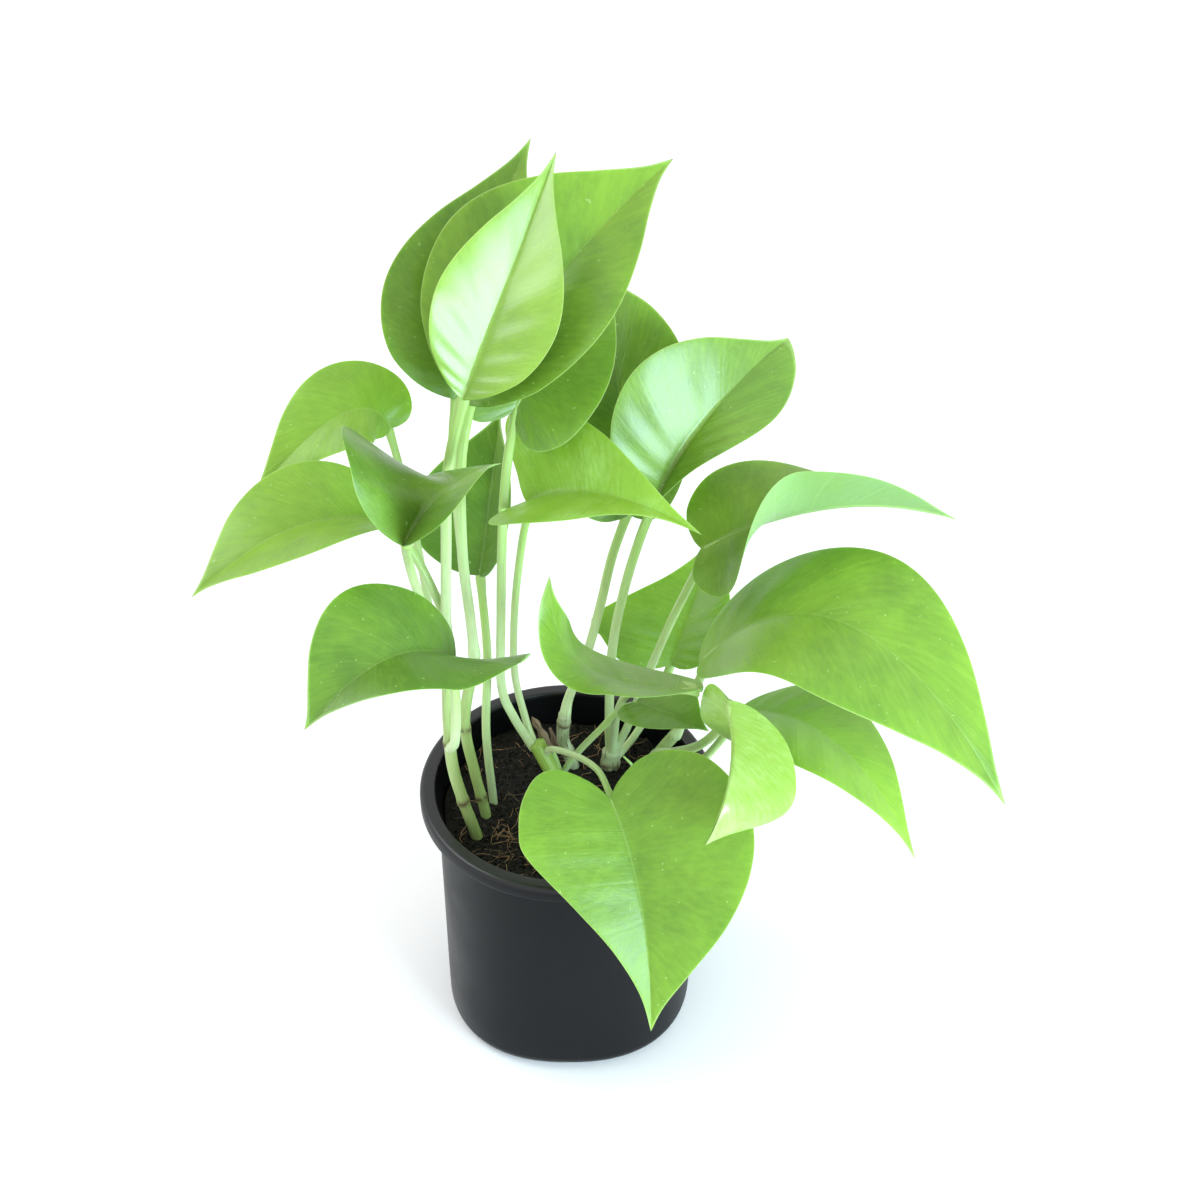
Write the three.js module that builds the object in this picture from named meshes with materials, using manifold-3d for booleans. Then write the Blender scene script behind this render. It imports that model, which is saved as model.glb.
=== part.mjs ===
// A pothos plant in a round plastic nursery pot, built from the pieces that the real plant has: pot, soil,
// canes, leaf stalks and leaf blades. Millimetres, +Z up. The origin is the centre of the pot's flat underside.
// +X is to the right and +Y is away from somebody who looks at the front of the plant.
import * as THREE from 'three';
import { ParametricGeometry } from 'three/addons/geometries/ParametricGeometry.js';
import { mergeVertices } from 'three/addons/utils/BufferGeometryUtils.js';
import Module from 'manifold-3d';

const wasm = await Module();
wasm.setup();

// ---------------------------------------------------------------- driving dimensions

const GAP = 0.3; // clearance between pieces that touch on the real plant

const POT_HEIGHT = 125;
const RIM_RADIUS = 62.5;
const RIM_WIDTH = 6.5; // flat ring seen from above
const RIM_DROP = 7; // height of the turned-down lip
const RIM_EDGE = 1; // bevel on the rim's two edges
const RIM_SHOULDER = 3; // depth of the slope from the flat rim in to the wall
const WALL = 1.8;
const FLOOR = 2.4;
const BODY_TOP_RADIUS = 55.2; // just under the lip
const BODY_BASE_RADIUS = 54.8;
const BASE_FILLET = 8;
const BASE_SQUARENESS = 2.4; // exponent of the base outline: 2 is round, and a larger one is squarer
const POT_SIDES = 48;
const DRAIN_HOLES = 8;
const DRAIN_RADIUS = 4.5;
const DRAIN_CIRCLE = 36; // the holes stand on this radius
const DRAIN_SIDES = 12;

const SOIL_TOP = 110;
const SOIL_WAVE = 1.6; // the soil's surface rises and falls this much
const SOIL_WAVE_X = 11; // and its waves are this wide for each radian
const SOIL_WAVE_Y = 13;
const SOIL_RINGS = 5;
const SOIL_CLEARANCE = 0.6; // between the soil and the pot's wall

const BLADE_THICKNESS = 1; // at the midrib
const BLADE_STEPS_ALONG = 16;
const BLADE_STEPS_ROUND = 12;
const MARGIN_CURL = 10; // degrees that each half turns down from midrib to margin
const ROW_SWEEP = 2.2; // how far a side vein's foot lies behind its end on the margin
const END_TAPER = 8; // the blade is full thickness from an eighth of the way in from either end
const SEAT = 0.02; // how far along the midrib the stalk ends
const PETIOLE_SIDES = 8;
const PETIOLE_STEP = 14; // length of one tube segment
const CANE_SIDES = 10;

const COLOURS = {
  pot: '#2b2c30', soil: '#2a211b', blade: '#79b83c', petiole: '#9ccf70', cane: '#a9cf7c', sheath: '#8a6f52',
};

// ---------------------------------------------------------------- leaf outlines

// Half outlines from the notch at the stalk to the tip: x in leaf lengths, y in half widths.
const HEART_OUTLINE = [
  [0, 0], [-0.07, 0.13], [-0.13, 0.36], [-0.12, 0.6], [-0.03, 0.84], [0.13, 0.98],
  [0.3, 1], [0.47, 0.88], [0.64, 0.64], [0.79, 0.34], [0.91, 0.11], [1, 0],
];
const OVAL_OUTLINE = [
  [0, 0], [0.02, 0.13], [0.06, 0.33], [0.12, 0.56], [0.2, 0.79], [0.31, 0.95],
  [0.43, 1], [0.55, 0.9], [0.68, 0.66], [0.8, 0.36], [0.91, 0.12], [1, 0],
];

// ---------------------------------------------------------------- the plant's pieces

const FORWARD = [0, -0.77, 0.64]; // to the front and up, as the plant leans to the light
const UP = [0, 0, 1];

// Canes stand in the soil. The first point is in it, and the last one is where the top leaf stalks leave.
const CANES = {
  left_front: {
    radius: 2.5,
    path: [[-36, -18, 88], [-38, -18, 110], [-43, -18, 132], [-47, -16, 158], [-46, -14, 209]],
  },
  left_back: {
    radius: 2.3,
    path: [[-33, -5, 88], [-35, -4, 110], [-39, -1, 132], [-42, 1, 159], [-37, 6, 189]],
  },
  middle: { radius: 3.4, path: [[4, 7, 86], [-2, 9, 110], [-7, 9, 123], [-13, 12, 136]] },
  back_left: { radius: 2.8, path: [[4, 24, 86], [2, 25, 110], [-2, 25, 126], [-1, 20, 145]] },
  back: { radius: 4, path: [[17, 24, 86], [18, 24, 104], [19, 26, 118]] },
  right: { radius: 2.6, path: [[31, 23, 86], [34, 22, 108], [38, 20, 120], [46, 14, 139]] },
};

// A leaf's three midrib points are where its stalk joins, the middle and the tip. It faces `faces`, as far as
// its midrib allows. Its left and right halves are as seen from the stalk with the upper side up. `width` is the
// half's own. `lift` is how far it is folded up, in degrees; four numbers give the lift at the stalk and at the
// tip, and the shares of the midrib between which it changes. `heart` is 0 for an oval base and 1 for a
// heart-shaped one, and `tail` draws the outer half out to a narrow point. `stalk` runs up to the blade, from its
// cane or, where none is named, out of the soil.
const LEAVES = {
  top_front: {
    midrib: [[-37, 10, 312], [-21, 30, 347], [-2, 62, 386]], faces: FORWARD,
    left: { width: 25, lift: 33, heart: 0, tail: 0 },
    right: { width: 27, lift: 30, heart: 0, tail: 0 },
    cane: 'left_front', radius: 2.1,
    stalk: [[-46, -14, 207], [-46, -10, 222], [-45, -4, 250], [-43, 3, 285]],
  },
  top_back_left: {
    midrib: [[-41, 30, 299], [-32, 60, 337], [-13, 111, 367]], faces: FORWARD,
    left: { width: 34, lift: 22, heart: 0.1, tail: 0.1 },
    right: { width: 36, lift: 20, heart: 0.1, tail: 0.15 },
    cane: 'left_back', radius: 1.8,
    stalk: [[-37, 6, 186], [-39, 14, 206], [-42, 24, 245], [-43, 29, 278]],
  },
  top_back_right: {
    midrib: [[-36, 18, 305], [0, 45, 346], [42, 90, 369]], faces: FORWARD,
    left: { width: 44, lift: 10, heart: 0.1, tail: 0 },
    right: { width: 31, lift: 33, heart: 0.1, tail: 0 },
    cane: 'left_back', radius: 2.1,
    stalk: [[-37, 6, 190], [-38, 8, 208], [-40, 11, 240], [-39, 15, 280]],
  },
  upper_middle: {
    midrib: [[-19, 40, 287], [-2, 65, 310], [14, 100, 324]], faces: FORWARD,
    left: { width: 30, lift: 20, heart: 1, tail: 0 },
    right: { width: 30, lift: 25, heart: 1, tail: 0 },
    cane: 'middle', radius: 1.9,
    stalk: [[-14, 12, 133], [-22, 13, 149], [-27, 13, 168], [-26, 12, 205], [-24, 12, 250], [-22, 26, 272]],
  },
  upper_back: {
    midrib: [[26, 50, 229], [22, 75, 270], [14, 115, 303]], faces: FORWARD,
    left: { width: 35, lift: 20, heart: 0.4, tail: -0.1 },
    right: { width: 30, lift: 20, heart: 0.4, tail: -0.35 },
    cane: 'back_left', radius: 2,
    stalk: [[-1, 20, 144], [1, 24, 152], [8, 32, 167], [14, 40, 188], [19, 46, 210]],
  },
  upper_right: {
    midrib: [[36, 35, 246], [58, 52, 278], [90, 85, 292]], faces: FORWARD,
    left: { width: 37, lift: 30, heart: 0.1, tail: 0 },
    right: { width: 21, lift: [62, 15, 0.1, 0.7], heart: 0, tail: -0.5 },
    cane: 'back', radius: 2,
    stalk: [[19, 26, 116], [18, 28, 130], [19, 30, 171], [24, 32, 204], [31, 34, 232]],
  },
  centre_upper: {
    midrib: [[-15, 25, 254], [16, 15, 265], [53, 0, 257]], faces: [0, -0.24, 0.97],
    left: { width: 37, lift: 40, heart: 0.3, tail: 0.55 },
    right: { width: 37, lift: [46, 24, -0.1, 0.5], heart: 0.3, tail: 0.55 },
    cane: 'middle', radius: 1.6,
    stalk: [[-14, 12, 134], [-18, 18, 146], [-22, 24, 166], [-21, 25, 200], [-17, 25, 235]],
  },
  right_arching: {
    midrib: [[55, 35, 223], [107, 31, 247], [155, 21, 248]], faces: UP,
    left: { width: 38, lift: [38, -12, 0, 0.5], heart: 0.4, tail: 0 },
    right: { width: 36, lift: [-12, 68, 0, 0.45], heart: 0.6, tail: 0 },
    cane: 'back', radius: 1.9,
    stalk: [[19, 26, 117], [25, 26, 130], [32, 26, 155], [42, 29, 185], [52, 33, 209]],
  },
  right_large: {
    midrib: [[54, 0, 191], [109, -20, 229], [171, -60, 171]], faces: UP,
    left: { width: 41, lift: 12, heart: 0.2, tail: -0.2 },
    right: { width: 43, lift: 6, heart: 0.2, tail: -0.2 },
    cane: 'right', radius: 2.1,
    stalk: [[46, 14, 138], [50, 13, 152], [54, 8, 173]],
  },
  right_low: {
    midrib: [[69, -15, 179], [107, -35, 180], [138, -65, 146]], faces: [0, 0.26, 0.97],
    left: { width: 30, lift: 8, heart: 0.1, tail: 0 },
    right: { width: 30, lift: 9, heart: 0.1, tail: 0 },
    radius: 1.8,
    stalk: [[44, 8, 90], [46, 8, 110], [52, 4, 126], [60, -3, 145], [66, -10, 163]],
  },
  young: {
    midrib: [[63, -40, 208], [63, -63, 189], [54, -80, 170]], faces: [-0.15, -0.75, 0.65],
    left: { width: 26, lift: [4, -60, 0.45, 0.95], heart: 0.1, tail: -0.3 },
    right: { width: 22, lift: [-45, -110, 0, 0.4], heart: 1.1, tail: 0 },
    cane: 'right', radius: 1.9,
    stalk: [[36, 21, 116], [38, 12, 130], [45, -6, 148], [54, -22, 167], [61, -34, 188]],
  },
  front_heart: {
    midrib: [[18, -47, 162], [30, -78, 135], [34, -108, 94]], faces: FORWARD,
    left: { width: 50, lift: 15, heart: 0.8, tail: 0.04 },
    right: { width: 41, lift: 25, heart: 1.3, tail: 0.3 },
    cane: 'middle', radius: 1.4,
    stalk: [[-10, 10, 131], [-6, 7, 137], [5, -6, 145], [13, -24, 155], [17, -40, 160]],
  },
  centre_low: {
    midrib: [[54, -28, 203], [8, -20, 208], [-5, -16, 250]], faces: [0, -0.1, 1],
    left: { width: 23, lift: [40, 8, 0.3, 0.8], heart: 0.2, tail: -0.1 },
    right: { width: 22, lift: [-22, 0, 0.5, 0.85], heart: 0.2, tail: 0.1 },
    cane: 'back', radius: 1.8,
    stalk: [[19, 26, 116], [20, 22, 130], [21, 14, 150], [25, 5, 170], [36, -8, 188], [48, -22, 199]],
  },
  small_inner: {
    midrib: [[29, 8, 163], [43, -6, 169], [58, -18, 171]], faces: [0, -0.2, 1],
    left: { width: 17, lift: 20, heart: 0.2, tail: 0 },
    right: { width: 21, lift: 30, heart: 0.2, tail: 0 },
    radius: 1.6,
    stalk: [[-4, 17, 90], [-3, 17, 110], [4, 16, 126], [14, 14, 142], [22, 11, 156]],
  },
  back_centre: {
    midrib: [[45, 50, 147], [54, 68, 163], [66, 100, 183]], faces: FORWARD,
    left: { width: 40, lift: 15, heart: 0.9, tail: 0.35 },
    right: { width: 20, lift: 35, heart: 0.3, tail: -0.1 },
    cane: 'back', radius: 1.7,
    stalk: [[20, 26, 113], [28, 33, 118], [36, 42, 127], [42, 48, 138]],
  },
  left_inner: {
    midrib: [[-57, -38, 281], [-42, -22, 294], [-22, -6, 295]], faces: UP,
    left: { width: 43, lift: [80, -25, 0.15, 0.65], heart: 0.2, tail: 0 },
    right: { width: 30, lift: 42, heart: 0.1, tail: 0 },
    cane: 'left_front', radius: 1.8,
    stalk: [[-46, -14, 205], [-52, -12, 222], [-57, -13, 245], [-58, -21, 265]],
  },
  left_far: {
    midrib: [[-64, 5, 256], [-99, -8, 267], [-139, -28, 249]], faces: [0, -0.2, 1],
    left: { width: 34, lift: [48, 34, 0, 0.6], heart: 0.2, tail: -0.2 },
    right: { width: 30, lift: 10, heart: 0.2, tail: -0.1 },
    cane: 'left_front', radius: 1.8,
    stalk: [[-46, -14, 208], [-46, -6, 217], [-50, -4, 230], [-58, 2, 246]],
  },
  left_upper: {
    midrib: [[-69, 50, 272], [-88, 44, 282], [-123, 22, 256]], faces: [0, -0.3, 1],
    left: { width: 18, lift: 5, heart: 0.35, tail: -0.1 },
    right: { width: 22, lift: 20, heart: 0.35, tail: -0.1 },
    cane: 'left_front', radius: 1.6,
    stalk: [[-47, -15, 196], [-53, 4, 210], [-60, 30, 232], [-66, 45, 255]],
  },
  left_low: {
    midrib: [[-41, -35, 224], [-64, -55, 242], [-93, -78, 228]], faces: [0, -0.2, 1],
    left: { width: 29, lift: [68, 15, -0.25, 0.35], heart: 1.6, tail: 0 },
    right: { width: 30, lift: 30, heart: 0.3, tail: -0.2 },
    cane: 'left_front', radius: 2,
    stalk: [[-47, -16, 160], [-44, -24, 172], [-42, -32, 202]],
  },
  back_left: {
    midrib: [[-36, 40, 205], [-32, 60, 226], [-28, 92, 252]], faces: FORWARD,
    left: { width: 32, lift: 5, heart: 0.3, tail: -0.15 },
    right: { width: 14, lift: 52, heart: 0.3, tail: -0.15 },
    radius: 1.8,
    stalk: [[-31, 3, 92], [-32, 4, 110], [-34, 9, 145], [-33, 22, 176], [-35, 36, 198]],
  },
};

// The dry sheath round the middle cane's top, and the small shoots and stubs between the canes.
const SHEATH = { radius: 1.3, path: [[-6.6, 14.4, 128], [-11, 17.4, 137], [-15, 19.6, 144]] };
const SHOOTS = {
  side_shoot: { radius: 1.5, path: [[-1, 16, 100], [-3, 16, 112], [-6, 17, 124], [-9, 18.5, 131]] },
  tendril: { radius: 0.9, path: [[28, 12, 104], [29, 11, 116], [28, 10, 124], [24, 11, 129]] },
  dry_stub: { radius: 1.4, path: [[-6, 36, 98], [-6, 36, 112], [-8, 37, 121]] },
};

// ---------------------------------------------------------------- solids

// Merges the vertices by place, drops the triangles that closed up at a point and turns the faces outwards.
function toSolid(geometry) {
  const bare = geometry.index ? geometry.toNonIndexed() : geometry.clone();
  bare.deleteAttribute('normal');
  bare.deleteAttribute('uv');
  const merged = mergeVertices(bare, 1e-4);
  const index = merged.index.array;
  const corners = [];
  for (let i = 0; i < index.length; i += 3) {
    const [a, b, c] = index.slice(i, i + 3);
    if (a !== b && b !== c && c !== a) corners.push(a, b, c);
  }
  const place = merged.attributes.position;
  const [a, b, c] = [0, 1, 2].map(() => new THREE.Vector3());
  let volume = 0;
  for (let i = 0; i < corners.length; i += 3) {
    a.fromBufferAttribute(place, corners[i]);
    b.fromBufferAttribute(place, corners[i + 1]);
    c.fromBufferAttribute(place, corners[i + 2]);
    volume += a.dot(b.cross(c));
  }
  if (volume < 0) corners.reverse();
  const mesh = new wasm.Mesh({
    numProp: 3,
    vertProperties: new Float32Array(place.array),
    triVerts: new Uint32Array(corners),
  });
  return new wasm.Manifold(mesh);
}

// A cut can leave a crumb beside the piece itself, so only the largest part is kept.
function largestPart(solid) {
  const parts = solid.decompose();
  return parts.reduce((best, part) => (part.volume() > best.volume() ? part : best));
}

function toMesh(name, solid, material) {
  const { vertProperties, triVerts } = solid.getMesh();
  const geometry = new THREE.BufferGeometry();
  geometry.setAttribute('position', new THREE.BufferAttribute(vertProperties, 3));
  geometry.setIndex(new THREE.BufferAttribute(triVerts, 1));
  geometry.computeVertexNormals();
  const mesh = new THREE.Mesh(geometry, material);
  mesh.name = name;
  return mesh;
}

function finish(colour, roughness) {
  return new THREE.MeshStandardMaterial({ color: COLOURS[colour], roughness, metalness: 0 });
}

// ---------------------------------------------------------------- pot and soil

// How far out the body lies at this angle, as a share of its radius: round at the rim, squarer below.
function bodyStretch(angle, height) {
  const share = 1 - THREE.MathUtils.clamp(height / (POT_HEIGHT - RIM_DROP), 0, 1);
  const exponent = 2 + (BASE_SQUARENESS - 2) * share;
  const across = Math.abs(Math.cos(angle)) ** exponent;
  const along = Math.abs(Math.sin(angle)) ** exponent;
  return (across + along) ** (-1 / exponent);
}

// Turns a profile of [radius, height] points round the pot's axis, with the body's squarer base.
function turned(profile) {
  const points = profile.map(([radius, height]) => new THREE.Vector2(radius, height));
  const geometry = new THREE.LatheGeometry(points, POT_SIDES);
  geometry.rotateX(Math.PI / 2);
  const place = geometry.attributes.position;
  for (let i = 0; i < place.count; i += 1) {
    const [x, y, z] = [place.getX(i), place.getY(i), place.getZ(i)];
    const stretch = bodyStretch(Math.atan2(y, x), z);
    place.setXYZ(i, x * stretch, y * stretch, z);
  }
  return geometry;
}

function wallRadius(height) {
  const share = height / (POT_HEIGHT - RIM_DROP);
  return BODY_BASE_RADIUS + (BODY_TOP_RADIUS - BODY_BASE_RADIUS) * share;
}

// The rounded corner between floor and wall, for the outside or, set in by the wall, for the inside.
function baseCorner(inset, lift) {
  const radius = BASE_FILLET - inset;
  const centre = BODY_BASE_RADIUS - BASE_FILLET;
  return [0, 1, 2, 3, 4].map((step) => {
    const angle = (step * Math.PI) / 8;
    return [centre + radius * Math.sin(angle), lift + radius * (1 - Math.cos(angle))];
  });
}

function makePot() {
  const lipFoot = POT_HEIGHT - RIM_DROP;
  const innerRim = RIM_RADIUS - RIM_WIDTH;
  const profile = [
    [0, 0],
    ...baseCorner(0, 0),
    [wallRadius(lipFoot), lipFoot],
    [wallRadius(lipFoot), POT_HEIGHT - 2 * WALL],
    [RIM_RADIUS - WALL, POT_HEIGHT - 2 * WALL],
    [RIM_RADIUS - WALL, lipFoot],
    [RIM_RADIUS, lipFoot],
    [RIM_RADIUS, POT_HEIGHT - RIM_EDGE],
    [RIM_RADIUS - RIM_EDGE, POT_HEIGHT],
    [innerRim + RIM_EDGE, POT_HEIGHT],
    [innerRim, POT_HEIGHT - RIM_EDGE],
    [wallRadius(lipFoot) - WALL, POT_HEIGHT - RIM_EDGE - RIM_SHOULDER],
    [wallRadius(SOIL_TOP) - WALL, SOIL_TOP],
    ...baseCorner(WALL, FLOOR).reverse(),
    [0, FLOOR],
  ];
  let pot = toSolid(turned(profile));
  for (let hole = 0; hole < DRAIN_HOLES; hole += 1) {
    const angle = ((hole + 0.5) * 2 * Math.PI) / DRAIN_HOLES;
    const drill = new THREE.CylinderGeometry(DRAIN_RADIUS, DRAIN_RADIUS, 4 * FLOOR, DRAIN_SIDES);
    drill.rotateX(Math.PI / 2);
    drill.translate(DRAIN_CIRCLE * Math.cos(angle), DRAIN_CIRCLE * Math.sin(angle), 0);
    pot = pot.subtract(toSolid(drill));
  }
  return pot;
}

function soilHeight(x, y) {
  return SOIL_TOP + SOIL_WAVE * Math.sin(x / SOIL_WAVE_X + 1) * Math.cos(y / SOIL_WAVE_Y);
}

// The soil fills the pot up to an uneven top, and every stem that stands in it has its own socket.
function makeSoil(stems) {
  const profile = [[0, FLOOR + GAP], ...baseCorner(WALL + SOIL_CLEARANCE, FLOOR + GAP)];
  const edge = wallRadius(SOIL_TOP) - WALL - SOIL_CLEARANCE;
  for (let ring = SOIL_RINGS; ring >= 0; ring -= 1) profile.push([(edge * ring) / SOIL_RINGS, SOIL_TOP]);
  const geometry = turned(profile);
  const place = geometry.attributes.position;
  for (let i = 0; i < place.count; i += 1) {
    if (place.getZ(i) > SOIL_TOP - 1) place.setZ(i, soilHeight(place.getX(i), place.getY(i)));
  }
  let soil = toSolid(geometry);
  for (const stem of stems) soil = soil.subtract(stem);
  return largestPart(soil);
}

// ---------------------------------------------------------------- stems

function vector([x, y, z]) {
  return new THREE.Vector3(x, y, z);
}

function tube(path, radius, sides) {
  const curve = new THREE.CatmullRomCurve3(path.map(vector), false, 'catmullrom');
  const section = new THREE.Shape();
  for (let side = 0; side < sides; side += 1) {
    const angle = (side * 2 * Math.PI) / sides;
    const [x, y] = [radius * Math.cos(angle), radius * Math.sin(angle)];
    if (side === 0) section.moveTo(x, y);
    else section.lineTo(x, y);
  }
  const steps = Math.max(3, Math.round(curve.getLength() / PETIOLE_STEP));
  return toSolid(new THREE.ExtrudeGeometry(section, { steps, bevelEnabled: false, extrudePath: curve }));
}

// ---------------------------------------------------------------- blades

// Half an outline between oval and heart-shaped.
function mixedOutline({ heart, tail }) {
  const points = OVAL_OUTLINE.map(([x, y], i) => {
    const [heartX, heartY] = HEART_OUTLINE[i];
    const mixed = x + (heartX - x) * heart;
    const drawn = mixed - tail * 2 * Math.max(mixed, 0) * (1 - mixed);
    return new THREE.Vector2(drawn, y + (heartY - y) * heart);
  });
  return new THREE.SplineCurve(points);
}

// How far a half is folded up, in degrees, at a share of the midrib.
function liftAt(lift, along) {
  if (typeof lift === 'number') return lift;
  const [atStalk, atTip, start, end] = lift;
  return atStalk + (atTip - atStalk) * THREE.MathUtils.smoothstep(along, start, end);
}

// Splits the underside's quads along the same diagonals as the upper side's, so that the two faces of the thin
// blade stay clear of each other where it is bent.
function matchDiagonals(geometry) {
  const corners = geometry.index.array;
  const quads = corners.length / 6;
  for (let quad = 0; quad < quads; quad += 1) {
    const below = quad % BLADE_STEPS_ROUND >= BLADE_STEPS_ROUND / 2;
    const [a, b, d, , c] = corners.slice(6 * quad, 6 * quad + 5);
    if (below) corners.set([a, b, c, a, c, d], 6 * quad);
  }
}

class Blade {
  constructor({ midrib, faces, left, right }) {
    const [base, mid, tip] = midrib.map(vector);
    const bend = mid.clone().multiplyScalar(2).sub(base.clone().add(tip).multiplyScalar(0.5));
    this.midrib = new THREE.QuadraticBezierCurve3(base, bend, tip);
    this.length = this.midrib.getLength();
    this.faces = vector(faces);
    this.halves = [left, right].map((half) => ({ ...half, outline: mixedOutline(half) }));
  }

  // The point on the midrib, its direction, the direction to the left and the one out of the upper face.
  frame(along) {
    const at = THREE.MathUtils.clamp(along, 0, 1);
    const point = this.midrib.getPoint(at);
    const ahead = this.midrib.getTangent(at);
    const out = this.faces.clone().addScaledVector(ahead, -ahead.dot(this.faces)).normalize();
    const left = new THREE.Vector3().crossVectors(out, ahead);
    point.addScaledVector(ahead, Math.min(along, 0) * this.length);
    return { point, ahead, left, out };
  }

  // A point of the blade's skin. `round` goes once round the blade's section, from the left margin over the
  // upper face to the right margin and back below, and `row` goes from the notch to the tip.
  skin(round, row, thickness, target) {
    const turn = 2 * Math.PI * round;
    const across = Math.abs(Math.cos(turn));
    const side = Math.cos(turn) >= 0 ? 1 : -1;
    const half = this.halves[side > 0 ? 0 : 1];
    const margin = half.outline.getPoint(row);
    const along = (1 - across) * row ** ROW_SWEEP + across * margin.x;
    const reach = across * Math.max(margin.y, 0);
    const { point, left, out } = this.frame(along);
    const lift = THREE.MathUtils.degToRad(liftAt(half.lift, along));
    const curl = THREE.MathUtils.degToRad(MARGIN_CURL);
    const slope = lift - curl * reach;
    const outward = (Math.sin(lift) - Math.sin(slope)) / curl;
    const upward = (Math.cos(slope) - Math.cos(lift)) / curl;
    const ends = Math.min(1, END_TAPER * row, END_TAPER * (1 - row));
    const rise = (thickness / 2) * Math.sin(turn) * ends;
    const tilt = across > 0.01 ? slope : 0; // the midrib itself faces straight out
    point.addScaledVector(left, side * (half.width * outward - rise * Math.sin(tilt)));
    point.addScaledVector(out, half.width * upward + rise * Math.cos(tilt));
    return target.copy(point);
  }

  solid(thickness) {
    const place = (round, row, target) => {
      const closed = round > 0.9999 ? 0 : round;
      return this.skin(closed, THREE.MathUtils.clamp(row, 0, 1), thickness, target);
    };
    const geometry = new ParametricGeometry(place, BLADE_STEPS_ROUND, BLADE_STEPS_ALONG);
    matchDiagonals(geometry);
    return toSolid(geometry);
  }

  // Where the stalk ends: just under the midrib's first millimetres, with its top edge against the blade.
  seat(radius) {
    const { point, out } = this.frame(SEAT);
    return point.addScaledVector(out, -(radius / 2 + GAP + BLADE_THICKNESS / 2)).toArray();
  }
}

// ---------------------------------------------------------------- assembly

const plant = new THREE.Group();
plant.name = 'potted_pothos';

const standing = []; // stems with a socket in the soil, grown by the gap
const caneShapes = {};
for (const [name, { radius, path }] of Object.entries(CANES)) {
  caneShapes[name] = { solid: tube(path, radius, CANE_SIDES), grown: tube(path, radius + GAP, CANE_SIDES) };
  standing.push(caneShapes[name].grown);
}

const placed = []; // stalks and blades so far, grown by the gap
for (const [name, leaf] of Object.entries(LEAVES)) {
  const blade = new Blade(leaf);
  const path = [...leaf.stalk, blade.seat(leaf.radius)];
  let stalk = tube(path, leaf.radius, PETIOLE_SIDES);
  for (const cane of Object.values(caneShapes)) stalk = stalk.subtract(cane.grown);
  stalk = stalk.subtract(blade.solid(BLADE_THICKNESS + 2 * GAP));
  for (const other of placed) stalk = stalk.subtract(other);
  stalk = largestPart(stalk);
  const grown = tube(path, leaf.radius + GAP, PETIOLE_SIDES);
  placed.push(grown);
  if (!leaf.cane) standing.push(grown);
  plant.add(toMesh(`stalk_${name}`, stalk, finish('petiole', 0.45)));
  plant.add(toMesh(`blade_${name}`, blade.solid(BLADE_THICKNESS), finish('blade', 0.35)));
}

for (const [name, { solid }] of Object.entries(caneShapes)) {
  plant.add(toMesh(`cane_${name}`, solid, finish('cane', 0.5)));
}

for (const [name, { radius, path }] of Object.entries(SHOOTS)) {
  let shoot = tube(path, radius, PETIOLE_SIDES);
  for (const cane of Object.values(caneShapes)) shoot = shoot.subtract(cane.grown);
  for (const other of placed) shoot = shoot.subtract(other);
  standing.push(tube(path, radius + GAP, PETIOLE_SIDES));
  plant.add(toMesh(name, largestPart(shoot), finish('petiole', 0.5)));
}

let sheath = tube(SHEATH.path, SHEATH.radius, PETIOLE_SIDES);
for (const cane of Object.values(caneShapes)) sheath = sheath.subtract(cane.grown);
for (const other of [...placed, ...standing]) sheath = sheath.subtract(other);
plant.add(toMesh('dry_sheath', largestPart(sheath), finish('sheath', 0.8)));

plant.add(toMesh('soil', makeSoil(standing), finish('soil', 0.95)));
plant.add(toMesh('pot', makePot(), finish('pot', 0.38)));

export default plant;
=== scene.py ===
"""Looks of a potted pothos plant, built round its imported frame. Lengths in the tables are millimetres."""

import math

import bmesh
import bpy
import numpy as np
from bpy.props import FloatProperty, FloatVectorProperty, IntProperty, PointerProperty
from bpy.types import Operator, Panel, PropertyGroup
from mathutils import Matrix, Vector, noise


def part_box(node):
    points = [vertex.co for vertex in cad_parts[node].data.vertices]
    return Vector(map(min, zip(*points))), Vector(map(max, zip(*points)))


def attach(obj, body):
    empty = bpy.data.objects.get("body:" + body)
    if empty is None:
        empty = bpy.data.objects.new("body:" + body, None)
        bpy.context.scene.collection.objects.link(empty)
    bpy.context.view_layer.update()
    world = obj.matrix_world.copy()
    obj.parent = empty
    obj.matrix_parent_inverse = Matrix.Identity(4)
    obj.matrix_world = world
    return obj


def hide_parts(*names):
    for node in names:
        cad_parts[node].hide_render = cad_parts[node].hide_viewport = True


bl_info = {
    "name": "Potted pothos",
    "version": (1, 0, 0),
    "blender": (4, 5, 0),
    "location": "3D View > Sidebar > Pothos",
    "description": "Builds the pot, soil, canes, stalks and leaves of a potted pothos",
    "category": "Add Mesh",
}

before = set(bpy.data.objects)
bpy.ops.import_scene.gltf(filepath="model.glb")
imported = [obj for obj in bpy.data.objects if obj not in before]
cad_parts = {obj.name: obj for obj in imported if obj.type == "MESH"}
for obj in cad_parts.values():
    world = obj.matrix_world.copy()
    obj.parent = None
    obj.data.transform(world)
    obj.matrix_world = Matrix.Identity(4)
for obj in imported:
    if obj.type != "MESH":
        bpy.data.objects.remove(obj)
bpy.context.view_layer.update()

MM = 0.001

# ------------------------------------------------------------------ driving dimensions, in millimetres

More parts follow.
